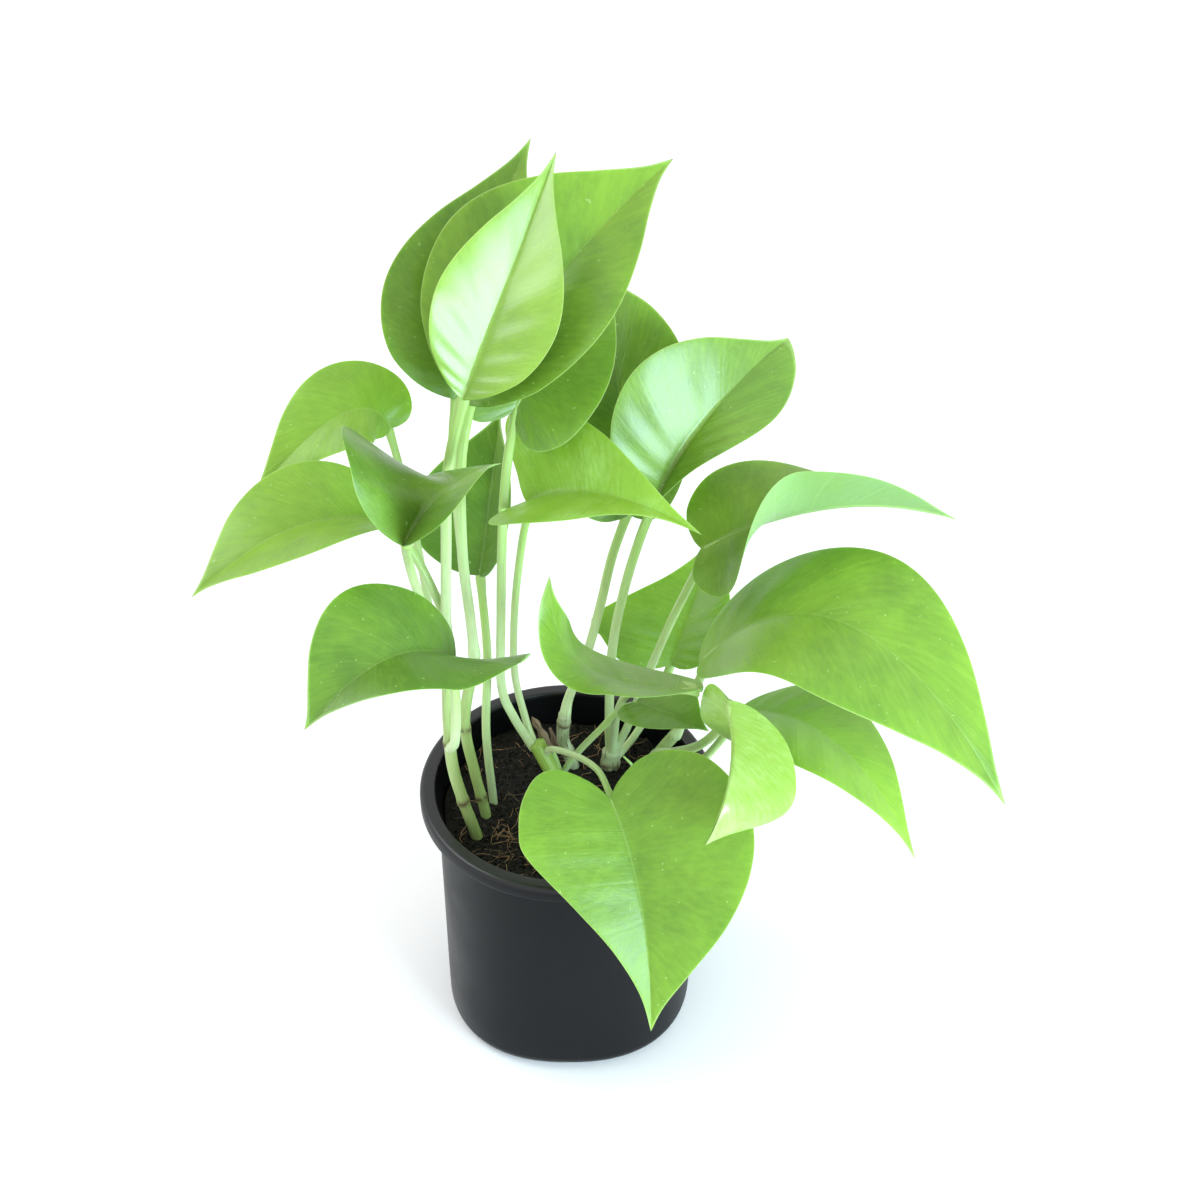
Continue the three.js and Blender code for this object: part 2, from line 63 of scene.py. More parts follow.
POT_HEIGHT = (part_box("pot")[1].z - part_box("pot")[0].z) / MM
RIM_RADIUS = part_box("pot")[1].x / MM
RIM_WIDTH = 6.5  # flat ring seen from above
RIM_DROP = 7  # height of the turned-down lip
RUBBED_DEPTH = 2.5  # the rim is rubbed smooth this far down
WALL_FILLET = 1.5  # between the wall and the rim's underside
LIP_FILLET = 1  # between the rim's underside and the lip
INSIDE_FLARE = 4  # the inside starts to widen to the rim this far below the lip
WALL = 1.8
FLOOR = 2.4
BODY_TOP_RADIUS = 55.2
BODY_BASE_RADIUS = 54.8
BASE_FILLET = 8
BASE_SQUARENESS = 2.4  # exponent of the base outline: 2 is round, and a larger one is squarer
DRAIN_HOLES = 8
DRAIN_RADIUS = 4.5
DRAIN_CIRCLE = 36  # the holes stand on this radius
DRAIN_SIDES = 40

SOIL_TOP = 110
SOIL_WAVE = 1.6  # how far the soil's surface rises and falls
SOIL_WAVE_X = 11  # length of its waves from side to side, for each radian
SOIL_WAVE_Y = 13  # and from front to back
SOIL_LUMP = 9
SOIL_SMALL_LUMP = 2.2
SOIL_CLEARANCE = 0.6  # between the soil and the pot's wall
SOIL_UNDERSIDE = FLOOR + 0.3
SOIL_SIDES = 160

SCATTER_TURN = 6.28  # radians
CRUMB_REACH = 0.96  # crumbs lie out to this share of the soil's radius
CRUMB_SMALLEST = (0.25, 0.2, 0.15)  # length, width and height, as shares of the crumb size
CRUMB_LARGEST = (1.0, 0.7, 0.55)
CRUMB_UNEVENNESS = 0.0011  # in metres
CRUMB_SEED = 3
CRUMB_SIZE_SEED = 5
FIBRE_REACH = 0.93  # coir fibres lie out to this share of the soil's radius
FIBRE_DIP = 0.35  # how steeply a fibre may rise or dip, in radians
FIBRE_WANDER = (0.014, 0.014, 0.011)  # in metres
FIBRE_WALL_GAP = 1.5
FIBRE_SEED = 11
FIBRE_SIZE_SEED = 8
HEAP_PLACE = (-0.025, -0.04, 0.11)  # in metres; the fibres lie thickest here
HEAP_SIZE = 0.05
HEAP_OUTSIDE = 0.12  # density away from the heap, as a share of that in its middle

END_ROUNDING = 0.4  # how far a tube's end stands out, in radii
CANE_STEP = 1.2
CANE_LUMP = 9  # a cane grows thicker and thinner over this length
CANE_UNEVENNESS = 0.06  # by this share of its radius
RING_WIDTH = 1.6
CHANNEL_WIDTH = 0.55  # of the channel along a stalk, in radians
SWELLING_PLACE = 4  # a stalk's swollen joint is this far below the blade
SWELLING_WIDTH = 4
FOOT_FLARE = 0.25  # a stalk widens by this share at its foot
FOOT_WIDTH = 6
FADING_LENGTH = 3  # a stalk starts to narrow this far below the blade
SHOOT_STEP = 1
SHOOT_SIDES = 16
SHEATH_SIDES = 20
SHEATH_RADIUS = 1.5
SHEATH_RIPPLE = 0.35

MARGIN_CURL = 10  # degrees that each half turns down from midrib to margin
MARGIN_WAVES = 2.3  # from notch to tip
ROW_SWEEP = 2.2  # the higher it is, the further a side vein's foot lies behind its end on the margin
GROOVE_WIDTH = 0.9
RIB_WIDTH = 1.1
SEAT = 0.02  # share of the midrib at which the stalk ends

# Half outlines of a blade, from the notch at the stalk to the tip: x in leaf lengths, y in half widths.
HEART_OUTLINE = [
    (0, 0), (-0.07, 0.13), (-0.13, 0.36), (-0.12, 0.6), (-0.03, 0.84), (0.13, 0.98),
    (0.3, 1), (0.47, 0.88), (0.64, 0.64), (0.79, 0.34), (0.91, 0.11), (1, 0),
]
OVAL_OUTLINE = [
    (0, 0), (0.02, 0.13), (0.06, 0.33), (0.12, 0.56), (0.2, 0.79), (0.31, 0.95),
    (0.43, 1), (0.55, 0.9), (0.68, 0.66), (0.8, 0.36), (0.91, 0.12), (1, 0),
]

FORWARD = (0, -0.77, 0.64)  # to the front and up
UP = (0, 0, 1)
FULL_TURN = 2 * math.pi

# Canes, from inside the soil to where their top leaf stalks leave. `joints` are the ringed places along them
# and `pale` is how woody and whitish the skin has become.
CANES = {
    "left_front": {
        "radius": 2.5, "joints": (0.36, 0.62, 0.97), "pale": 0.35,
        "path": [(-36, -18, 88), (-38, -18, 110), (-43, -18, 132), (-47, -16, 158), (-46, -14, 209)],
    },
    "left_back": {
        "radius": 2.3, "joints": (0.3, 0.66, 0.97), "pale": 0.3,
        "path": [(-33, -5, 88), (-35, -4, 110), (-39, -1, 132), (-42, 1, 159), (-37, 6, 189)],
    },
    "middle": {
        "radius": 3.4, "joints": (0.66,), "pale": 0,
        "path": [(4, 7, 86), (-2, 9, 110), (-7, 9, 123), (-13, 12, 136)],
    },
    "back_left": {
        "radius": 2.8, "joints": (0.55, 0.9), "pale": 1,
        "path": [(4, 24, 86), (2, 25, 110), (-2, 25, 126), (-1, 20, 145)],
    },
    "back": {
        "radius": 4, "joints": (0.8,), "pale": 0.9,
        "path": [(17, 24, 86), (18, 24, 104), (19, 26, 118)],
    },
    "right": {
        "radius": 2.6, "joints": (0.62,), "pale": 0.5,
        "path": [(31, 23, 86), (34, 22, 108), (38, 20, 120), (46, 14, 139)],
    },
}

# A leaf's three midrib points are where its stalk joins, the middle and the tip. It faces `faces`, as far
# as its midrib allows. Its left and right halves are as seen from the stalk with the upper side up, and
# each is its width, lift, heart and tail. Lift is how far the half is folded up, in degrees; four numbers
# give the lift at the stalk and at the tip, and the shares of the midrib between which it changes. Heart
# is 0 for an oval base and 1 for a heart-shaped one, and tail draws the outer half out to a narrow point.
# `tint` is 0 for a deep green leaf and 1 for a bright young one, and `wave` is how far the margin rises
# and falls. `stalk` runs up to the blade, and `radius` is the stalk's.
LEAVES = {
    "top_front": {
        "midrib": [(-37, 10, 312), (-21, 30, 347), (-2, 62, 386)],
        "left": (25, 33, 0, 0), "right": (27, 30, 0, 0),
        "faces": FORWARD, "tint": 0.95, "wave": 0.8, "radius": 2.1,
        "stalk": [(-46, -14, 207), (-46, -10, 222), (-45, -4, 250), (-43, 3, 285)],
    },
    "top_back_left": {
        "midrib": [(-41, 30, 299), (-32, 60, 337), (-13, 111, 367)],
        "left": (34, 22, 0.1, 0.1), "right": (36, 20, 0.1, 0.15),
        "faces": FORWARD, "tint": 0.35, "wave": 1, "radius": 1.8,
        "stalk": [(-37, 6, 186), (-39, 14, 206), (-42, 24, 245), (-43, 29, 278)],
    },
    "top_back_right": {
        "midrib": [(-36, 18, 305), (0, 45, 346), (42, 90, 369)],
        "left": (44, 10, 0.1, 0), "right": (31, 33, 0.1, 0),
        "faces": FORWARD, "tint": 0.5, "wave": 1, "radius": 2.1,
        "stalk": [(-37, 6, 190), (-38, 8, 208), (-40, 11, 240), (-39, 15, 280)],
    },
    "upper_middle": {
        "midrib": [(-19, 40, 287), (-2, 65, 310), (14, 100, 324)],
        "left": (30, 20, 1, 0), "right": (30, 25, 1, 0),
        "faces": FORWARD, "tint": 0.4, "wave": 0.6, "radius": 1.9,
        "stalk": [
            (-14, 12, 133), (-22, 13, 149), (-27, 13, 168),
            (-26, 12, 205), (-24, 12, 250), (-22, 26, 272),
        ],
    },
    "upper_back": {
        "midrib": [(26, 50, 229), (22, 75, 270), (14, 115, 303)],
        "left": (35, 20, 0.4, -0.1), "right": (30, 20, 0.4, -0.35),
        "faces": FORWARD, "tint": 0.35, "wave": 1, "radius": 2,
        "stalk": [(-1, 20, 144), (1, 24, 152), (8, 32, 167), (14, 40, 188), (19, 46, 210)],
    },
    "upper_right": {
        "midrib": [(36, 35, 246), (58, 52, 278), (90, 85, 292)],
        "left": (37, 30, 0.1, 0), "right": (21, (62, 15, 0.1, 0.7), 0, -0.5),
        "faces": FORWARD, "tint": 0.4, "wave": 1, "radius": 2,
        "stalk": [(19, 26, 116), (18, 28, 130), (19, 30, 171), (24, 32, 204), (31, 34, 232)],
    },
    "centre_upper": {
        "midrib": [(-15, 25, 254), (16, 15, 265), (53, 0, 257)],
        "left": (37, 40, 0.3, 0.55), "right": (37, (46, 24, -0.1, 0.5), 0.3, 0.55),
        "faces": (0, -0.24, 0.97), "tint": 1, "wave": 1, "radius": 1.6,
        "stalk": [(-14, 12, 134), (-18, 18, 146), (-22, 24, 166), (-21, 25, 200), (-17, 25, 235)],
    },
    "right_arching": {
        "midrib": [(55, 35, 223), (107, 31, 247), (155, 21, 248)],
        "left": (38, (38, -12, 0, 0.5), 0.4, 0), "right": (36, (-12, 68, 0, 0.45), 0.6, 0),
        "faces": UP, "tint": 0.5, "wave": 1.2, "radius": 1.9,
        "stalk": [(19, 26, 117), (25, 26, 130), (32, 26, 155), (42, 29, 185), (52, 33, 209)],
    },
    "right_large": {
        "midrib": [(54, 0, 191), (109, -20, 229), (171, -60, 171)],
        "left": (41, 12, 0.2, -0.2), "right": (43, 6, 0.2, -0.2),
        "faces": UP, "tint": 0.55, "wave": 1.5, "radius": 2.1,
        "stalk": [(46, 14, 138), (50, 13, 152), (54, 8, 173)],
    },
    "right_low": {
        "midrib": [(69, -15, 179), (107, -35, 180), (138, -65, 146)],
        "left": (30, 8, 0.1, 0), "right": (30, 9, 0.1, 0),
        "faces": (0, 0.26, 0.97), "tint": 0.9, "wave": 1.2, "radius": 1.8,
        "stalk": [(44, 8, 90), (46, 8, 110), (52, 4, 126), (60, -3, 145), (66, -10, 163)],
    },
    "young": {
        "midrib": [(63, -40, 208), (63, -63, 189), (54, -80, 170)],
        "left": (26, (4, -60, 0.45, 0.95), 0.1, -0.3), "right": (22, (-45, -110, 0, 0.4), 1.1, 0),
        "faces": (-0.15, -0.75, 0.65), "tint": 1.2, "wave": 0.4, "radius": 1.9,
        "stalk": [(36, 21, 116), (38, 12, 130), (45, -6, 148), (54, -22, 167), (61, -34, 188)],
    },
    "front_heart": {
        "midrib": [(18, -47, 162), (30, -78, 135), (34, -108, 94)],
        "left": (50, 15, 0.8, 0.04), "right": (41, 25, 1.3, 0.3),
        "faces": FORWARD, "tint": 0.45, "wave": 1.2, "radius": 1.4,
        "stalk": [(-10, 10, 131), (-6, 7, 137), (5, -6, 145), (13, -24, 155), (17, -40, 160)],
    },
    "centre_low": {
        "midrib": [(54, -28, 203), (8, -20, 208), (-5, -16, 250)],
        "left": (23, (40, 8, 0.3, 0.8), 0.2, -0.1), "right": (22, (-22, 0, 0.5, 0.85), 0.2, 0.1),
        "faces": (0, -0.1, 1), "tint": 0.45, "wave": 0.5, "radius": 1.8,
        "stalk": [(19, 26, 116), (20, 22, 130), (21, 14, 150), (25, 5, 170), (36, -8, 188), (48, -22, 199)],
    },
    "small_inner": {
        "midrib": [(29, 8, 163), (43, -6, 169), (58, -18, 171)],
        "left": (17, 20, 0.2, 0), "right": (21, 30, 0.2, 0),
        "faces": (0, -0.2, 1), "tint": 0.35, "wave": 0.6, "radius": 1.6,
        "stalk": [(-4, 17, 90), (-3, 17, 110), (4, 16, 126), (14, 14, 142), (22, 11, 156)],
    },
    "back_centre": {
        "midrib": [(45, 50, 147), (54, 68, 163), (66, 100, 183)],
        "left": (40, 15, 0.9, 0.35), "right": (20, 35, 0.3, -0.1),
        "faces": FORWARD, "tint": 0.6, "wave": 0.8, "radius": 1.7,
        "stalk": [(20, 26, 113), (28, 33, 118), (36, 42, 127), (42, 48, 138)],
    },
    "left_inner": {
        "midrib": [(-57, -38, 281), (-42, -22, 294), (-22, -6, 295)],
        "left": (43, (80, -25, 0.15, 0.65), 0.2, 0), "right": (30, 42, 0.1, 0),
        "faces": UP, "tint": 0.12, "wave": 0.8, "radius": 1.8,
        "stalk": [(-46, -14, 205), (-52, -12, 222), (-57, -13, 245), (-58, -21, 265)],
    },
    "left_far": {
        "midrib": [(-64, 5, 256), (-99, -8, 267), (-139, -28, 249)],
        "left": (34, (48, 34, 0, 0.6), 0.2, -0.2), "right": (30, 10, 0.2, -0.1),
        "faces": (0, -0.2, 1), "tint": 0.6, "wave": 1, "radius": 1.8,
        "stalk": [(-46, -14, 208), (-46, -6, 217), (-50, -4, 230), (-58, 2, 246)],
    },
    "left_upper": {
        "midrib": [(-69, 50, 272), (-88, 44, 282), (-123, 22, 256)],
        "left": (18, 5, 0.35, -0.1), "right": (22, 20, 0.35, -0.1),
        "faces": (0, -0.3, 1), "tint": 0.75, "wave": 0.6, "radius": 1.6,
        "stalk": [(-47, -15, 196), (-53, 4, 210), (-60, 30, 232), (-66, 45, 255)],
    },
    "left_low": {
        "midrib": [(-41, -35, 224), (-64, -55, 242), (-93, -78, 228)],
        "left": (29, (68, 15, -0.25, 0.35), 1.6, 0), "right": (30, 30, 0.3, -0.2),
        "faces": (0, -0.2, 1), "tint": 0.1, "wave": 1, "radius": 2,
        "stalk": [(-47, -16, 160), (-44, -24, 172), (-42, -32, 202)],
    },
    "back_left": {
        "midrib": [(-36, 40, 205), (-32, 60, 226), (-28, 92, 252)],
        "left": (32, 5, 0.3, -0.15), "right": (14, 52, 0.3, -0.15),
        "faces": FORWARD, "tint": 0, "wave": 0.6, "radius": 1.8,
        "stalk": [(-31, 3, 92), (-32, 4, 110), (-34, 9, 145), (-33, 22, 176), (-35, 36, 198)],
    },
}

SHEATH_PATH = [(-6.6, 14.4, 128), (-11, 17.4, 137), (-15, 19.6, 144)]
SHOOTS = {
    "side_shoot": {"radius": 1.5, "path": [(-1, 16, 100), (-3, 16, 112), (-6, 17, 124), (-9, 18.5, 131)]},
    "tendril": {"radius": 0.9, "path": [(28, 12, 104), (29, 11, 116), (28, 10, 124), (24, 11, 129)]},
    "dry_stub": {"radius": 1.4, "path": [(-6, 36, 98), (-6, 36, 112), (-8, 37, 121)]},
}

# How glossy a blade's upper side is, for the leaves that shine more than usual.
GLOSS = {"top_front": 1, "upper_right": 0.65, "young": 1, "upper_middle": 0.6}
USUAL_GLOSS = 0.15


# ------------------------------------------------------------------ settings


def colour(name, description, default):
    return FloatVectorProperty(
        name=name, description=description, default=default, subtype="COLOR", size=3, min=0, max=1
    )


def length(name, description, millimetres):
    return FloatProperty(
        name=name, description=description, default=millimetres * MM,
        unit="LENGTH", subtype="DISTANCE", precision=5,
    )


def number(name, description, default):
    return FloatProperty(name=name, description=description, default=default)


def whole(name, description, default):
    return IntProperty(name=name, description=description, default=default)


class PotSettings(PropertyGroup):
    sides: whole("Sides", "Faces round the pot", 192)
    edge: length("Edge", "Radius of the rim's inner edge, and half that of its outer edge", 1.1)
    plastic: colour("Plastic", "Colour of the moulded plastic", (0.0036, 0.0037, 0.0046))


class SoilSettings(PropertyGroup):
    rings: whole("Rings", "Rings of faces in the soil's surface", 60)
    relief: length("Relief", "Height of the soil's lumps", 1.3)
    crumb_size: length("Crumb size", "Size of the largest crumbs", 2.6)
    crumb_density: number("Crumb density", "Crumbs on each square metre", 260000)
    fibre_length: length("Fibre length", "Length of the longest coir fibres", 22)
    fibre_radius: length("Fibre radius", "Half the thickness of a coir fibre", 0.15)
    fibre_density: number("Fibre density", "Fibres on each square metre", 70000)
    earth: colour("Earth", "Colour of the moist potting mix", (0.007, 0.0063, 0.005))
    crumb: colour("Crumb", "Colour of the drier crumbs", (0.042, 0.036, 0.027))
    fibre: colour("Fibre", "Colour of the coir fibres", (0.36, 0.21, 0.1))


class LeafSettings(PropertyGroup):
    rows: whole("Rows", "Faces from a blade's notch to its tip", 84)
    columns: whole("Columns", "Faces across a blade", 44)
    thickness: length("Thickness", "Thickness of a blade", 0.6)
    groove: length("Groove", "Depth of the groove over the midrib", 0.14)
    rib: length("Rib", "Height of the midrib's underside", 1.1)
    veins: whole("Veins", "Spaces that the side veins divide each half into", 9)
    quilting: length("Quilting", "How far the blade rises at a side vein and falls between two", 0.22)
    deep: colour("Deep green", "Colour of an old leaf's upper side", (0.1, 0.215, 0.024))
    bright: colour("Bright green", "Colour of a young leaf's upper side", (0.26, 0.465, 0.04))
    under: colour("Underside", "Colour of a leaf's underside", (0.26, 0.44, 0.17))
    young: colour("Young green", "Colour of a leaf that has just unfolded", (0.4, 0.66, 0.17))
    pale: colour("Pale edge", "Colour of the margin and the midrib", (0.4, 0.6, 0.2))


class StalkSettings(PropertyGroup):
    sides: whole("Sides", "Faces round a stalk", 20)
    step: length("Step", "Length of a stalk's faces", 2.2)
    swelling: number("Swelling", "Swelling of the joint under the blade", 0.22)
    channel: number("Channel", "Depth of the channel along a stalk", 0.2)
    top: colour("Top", "Colour near the blade", (0.37, 0.56, 0.15))
    foot: colour("Foot", "Colour near the cane", (0.55, 0.68, 0.36))


class CaneSettings(PropertyGroup):
    sides: whole("Sides", "Faces round a cane", 28)
    ring: number("Ring", "Swelling of a cane at its joints", 0.16)
    skin: colour("Skin", "Colour of a green cane", (0.27, 0.42, 0.075))
    woody: colour("Woody skin", "Colour of an old whitish cane", (0.5, 0.56, 0.36))
    cork: colour("Cork", "Colour of the dry rings and stripes", (0.1, 0.055, 0.028))


class StageSettings(PropertyGroup):
    floor_size: length("Floor size", "Side of the square floor", 8000)
    floor: colour("Floor", "Colour of the floor", (0.96, 0.96, 0.96))
    sky: number("Sky", "Strength of the even light from all sides", 1.0)
    key: number("Key", "Power of the main lamp, in watts", 16)
    fill: number("Fill", "Power of the second lamp, in watts", 5)


# ------------------------------------------------------------------ curves


def spline(points, shares, mirrored=True):
    """Places on a smooth curve through points, at shares from 0 to 1. mirrored lets its ends run straight."""
    points = np.asarray(points, float)
    before = 2 * points[0] - points[1] if mirrored else points[0]
    after = 2 * points[-1] - points[-2] if mirrored else points[-1]
    padded = np.vstack([before, points, after])
    place = np.clip(np.asarray(shares, float), 0, 1) * (len(points) - 1)
    leg = np.minimum(place.astype(int), len(points) - 2)
    t = (place - leg)[..., None]
    a, b, c, d = (padded[leg + k] for k in range(4))
    return 0.5 * (2 * b + (c - a) * t + (2 * a - 5 * b + 4 * c - d) * t**2 + (3 * b - a - 3 * c + d) * t**3)


def step_lengths(path):
    """The distance from each point of a path to the next."""
    return np.linalg.norm(np.diff(path, axis=0), axis=1)


def evenly(points, step):
    """Points on the smooth curve through points, about step apart."""
    fine = spline(points, np.linspace(0, 1, 40 * len(points)))
    run = np.concatenate([[0], np.cumsum(step_lengths(fine))])
    count = max(4, round(run[-1] / step))
    marks = np.linspace(0, run[-1], count + 1)
    return np.stack([np.interp(marks, run, fine[:, k]) for k in range(3)], axis=1)


def normalised(vectors):
    size = np.linalg.norm(vectors, axis=-1, keepdims=True)
    return vectors / np.maximum(size, 1e-9)


def bump(value, middle, width):
    """A smooth rise from 0 to 1 and back round middle."""
    return np.exp(-(((value - middle) / width) ** 2))


# ------------------------------------------------------------------ meshes


def new_piece(name, vertices, faces, materials):
    """A mesh object whose vertices are given in millimetres."""
    mesh = bpy.data.meshes.new(name)
    mesh.from_pydata((np.asarray(vertices, float) * MM).tolist(), [], faces)
    mesh.validate()
    for material in materials:
        mesh.materials.append(material)
    mesh.polygons.foreach_set("use_smooth", [True] * len(mesh.polygons))
    piece = bpy.data.objects.new(name, mesh)
    bpy.context.scene.collection.objects.link(piece)
    return piece


def merge_and_turn_out(piece):
    """Joins doubled vertices and turns every face outwards."""
    build = bmesh.new()
    build.from_mesh(piece.data)
    bmesh.ops.remove_doubles(build, verts=build.verts, dist=1e-3 * MM)
    bmesh.ops.dissolve_degenerate(build, edges=build.edges, dist=1e-4 * MM)
    bmesh.ops.recalc_face_normals(build, faces=build.faces)
    build.to_mesh(piece.data)
    build.free()


def add_values(piece, name, values):
    attribute = piece.data.attributes.new(name, "FLOAT", "POINT")
    attribute.data.foreach_set("value", np.asarray(values, np.float32).ravel())


def baked(piece, name):
    """Turns a piece with modifiers into a plain mesh."""
    graph = bpy.context.evaluated_depsgraph_get()
    mesh = bpy.data.meshes.new_from_object(piece.evaluated_get(graph))
    piece.modifiers.clear()
    piece.data = mesh
    mesh.name = name
    return piece


def belongs(piece, slot, *nodes):
    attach(piece, "root")
    if nodes:
        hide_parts(*nodes)


def ring_turns(sides):
    """The angles of the points of a ring."""
    return np.linspace(0, FULL_TURN, sides, endpoint=False)


def ring_faces(rings, sides):
    """Quads between rings of vertices that go round, ring after ring."""
    faces = []
    for ring in range(rings - 1):
        for side in range(sides):
            following = (side + 1) % sides
            a, b = ring * sides + side, ring * sides + following
            faces.append((a, b, b + sides, a + sides))
    return faces


def closed_faces(rings, sides):
    """Quads between rings of vertices, and a fan to each of the two end vertices that follow them."""
    faces = ring_faces(rings, sides)
    first, last = rings * sides, rings * sides + 1
    top = (rings - 1) * sides
    for side in range(sides):
        following = (side + 1) % sides
        faces.append((first, following, side))
        faces.append((last, top + side, top + following))
    return faces


def tube(name, path, radii, sides, material, facing=UP, channel=0.0):
    """A closed tube along path with rounded ends. The channel runs along the side that looks to facing."""
    path = np.asarray(path, float)
    ahead = normalised(np.gradient(path, axis=0))
    across = np.asarray(facing, float)
    angles = ring_turns(sides)
    dent = 1 - channel * bump(np.minimum(angles, FULL_TURN - angles), 0, CHANNEL_WIDTH)
    rings = []
    for point, forward, radius in zip(path, ahead, radii):
        across = normalised(across - forward * across.dot(forward))
        beside = np.cross(forward, across)
        rim = np.outer(np.cos(angles) * dent, across) + np.outer(np.sin(angles) * dent, beside)
        rings.append(point + radius * rim)
    start = path[0] - ahead[0] * radii[0] * END_ROUNDING
    end = path[-1] + ahead[-1] * radii[-1] * END_ROUNDING
    piece = new_piece(name, np.vstack([*rings, start, end]), closed_faces(len(path), sides), [material])
    shares = np.linspace(0, 1, len(path))
    add_values(piece, "along", np.concatenate([np.repeat(shares, sides), [0, 1]]))
    add_values(piece, "around", np.concatenate([np.tile(np.cos(angles), len(path)), [0, 0]]))
    merge_and_turn_out(piece)
    return piece


# ------------------------------------------------------------------ node helpers


def new_material(name):
    material = bpy.data.materials.new(name)
    material.use_nodes = True
    return material, material.node_tree, material.node_tree.nodes["Principled BSDF"]


def set_inputs(tree, node, inputs):
    """Gives a node its inputs. An input is a value, or a socket that is linked to it."""
    for key, value in inputs.items():
        if isinstance(value, bpy.types.NodeSocket):
            tree.links.new(value, node.inputs[key])
        else:
            node.inputs[key].default_value = value


def add_node(tree, kind, inputs=None, **settings):
    """A new node with its settings and inputs."""
    node = tree.nodes.new(kind)
    for key, value in settings.items():
        setattr(node, key, value)
    set_inputs(tree, node, inputs or {})
    return node


def calculate(tree, operation, *values):
    return add_node(tree, "ShaderNodeMath", dict(enumerate(values)), operation=operation).outputs[0]


def multiply(tree, first, second):
    return calculate(tree, "MULTIPLY", first, second)


def add(tree, first, second):
    return calculate(tree, "ADD", first, second)


def vector_math(tree, operation, *values):
    return add_node(tree, "ShaderNodeVectorMath", dict(enumerate(values)), operation=operation).outputs


def scaled(tree, vector, factor):
    return add_node(tree, "ShaderNodeVectorMath", {0: vector, "Scale": factor}, operation="SCALE").outputs[0]


def combine(tree, x, y, z):
    return add_node(tree, "ShaderNodeCombineXYZ", {"X": x, "Y": y, "Z": z}).outputs[0]


def attribute(tree, name):
    return add_node(tree, "ShaderNodeAttribute", attribute_name=name).outputs["Fac"]


def object_place(tree):
    return add_node(tree, "ShaderNodeTexCoord").outputs["Object"]


def noise_value(tree, place, scale, detail=3.0, roughness=0.55):
    inputs = {"Vector": place, "Scale": scale, "Detail": detail, "Roughness": roughness}
    return add_node(tree, "ShaderNodeTexNoise", inputs).outputs["Fac"]


def stem_streaks(tree, along, round_scale, along_scale, scale, detail, roughness):
    """Noise in streaks that run along a stem. The first two scales say how fast it changes each way."""
    round_stem = multiply(tree, attribute(tree, "around"), round_scale)
    place = combine(tree, round_stem, multiply(tree, along, along_scale), 0.0)
    return noise_value(tree, place, scale, detail, roughness)


def ramp(tree, value, low, high, start=0.0, end=1.0):
    """start below low, end above high and a smooth change between."""
    inputs = {"Value": value, "From Min": low, "From Max": high, "To Min": start, "To Max": end}
    return add_node(tree, "ShaderNodeMapRange", inputs, interpolation_type="SMOOTHSTEP").outputs["Result"]


def blend(tree, share, first, second):
    """A colour that goes from first to second with share. Each is a socket or three numbers."""
    tones = [tone if isinstance(tone, bpy.types.NodeSocket) else (*tone, 1) for tone in (first, second)]
    inputs = {0: share, 6: tones[0], 7: tones[1]}
    return add_node(tree, "ShaderNodeMix", inputs, data_type="RGBA").outputs[2]


def add_relief(tree, shader, height, strength, distance):
    """Roughens a surface by a height, which distance turns into metres."""
    inputs = {"Strength": strength, "Distance": distance, "Height": height}
    set_inputs(tree, shader, {"Normal": add_node(tree, "ShaderNodeBump", inputs).outputs[0]})


# ------------------------------------------------------------------ materials

DUST = (0.045, 0.043, 0.038)
DRY_FIBRE = (0.6, 0.42, 0.24)
STALK_MOTTLING = (0.42, 0.54, 0.24)
DRY_SHEATH = (0.3, 0.22, 0.14)
DARK_SHEATH = (0.05, 0.025, 0.015)


def plastic_material(settings):
    """Satin black moulded plastic with a fine grain, light scuffs and a rim rubbed smooth."""
    material, tree, shader = new_material("pot_plastic")
    place = object_place(tree)
    cloud = noise_value(tree, place, 28, 4)
    dust = ramp(tree, noise_value(tree, place, 420, 5, 0.7), 0.66, 0.78, 0, 0.35)
    worn = ramp(tree, cloud, 0.4, 0.75, 0, 0.5)
    body = blend(tree, worn, settings.plastic, [c * 1.6 for c in settings.plastic])
    height = add_node(tree, "ShaderNodeSeparateXYZ", {"Vector": place}).outputs["Z"]
    low, high = (POT_HEIGHT - RUBBED_DEPTH) * MM, (POT_HEIGHT - 0.5) * MM
    set_inputs(tree, shader, {
        "Base Color": blend(tree, dust, body, DUST),
        "Roughness": ramp(tree, cloud, 0.3, 0.7, 0.3, 0.42),
        "Specular IOR Level": ramp(tree, height, low, high, 0.13, 0.6),
    })
    add_relief(tree, shader, noise_value(tree, place, 1400, 2), 0.12, 0.0002)
    return material


def earth_material(settings):
    """Moist dark potting mix, paler and browner in small patches."""
    material, tree, shader = new_material("potting_mix")
    place = object_place(tree)
    patches = noise_value(tree, place, 160, 6, 0.7)
    grit = noise_value(tree, place, 900, 3, 0.6)
    mixed = blend(tree, ramp(tree, grit, 0.35, 0.7), settings.earth, settings.crumb)
    set_inputs(tree, shader, {
        "Base Color": blend(tree, ramp(tree, patches, 0.45, 0.7, 0.15, 1), settings.earth, mixed),
        "Roughness": ramp(tree, patches, 0.4, 0.65, 0.72, 0.95),
        "Specular IOR Level": 0.2,
    })
    add_relief(tree, shader, grit, 0.9, 0.0008)
    return material


def crumb_material(settings):
    """Crumbs of bark and coir, from near black to dull brown."""
    material, tree, shader = new_material("soil_crumb")
    place = object_place(tree)
    patches = ramp(tree, noise_value(tree, place, 300, 2), 0.42, 0.66)
    set_inputs(tree, shader, {
        "Base Color": blend(tree, patches, settings.earth, settings.crumb),
        "Roughness": 0.85,
        "Specular IOR Level": 0.2,
    })
    add_relief(tree, shader, noise_value(tree, place, 1800, 3, 0.6), 0.6, 0.0004)
    return material


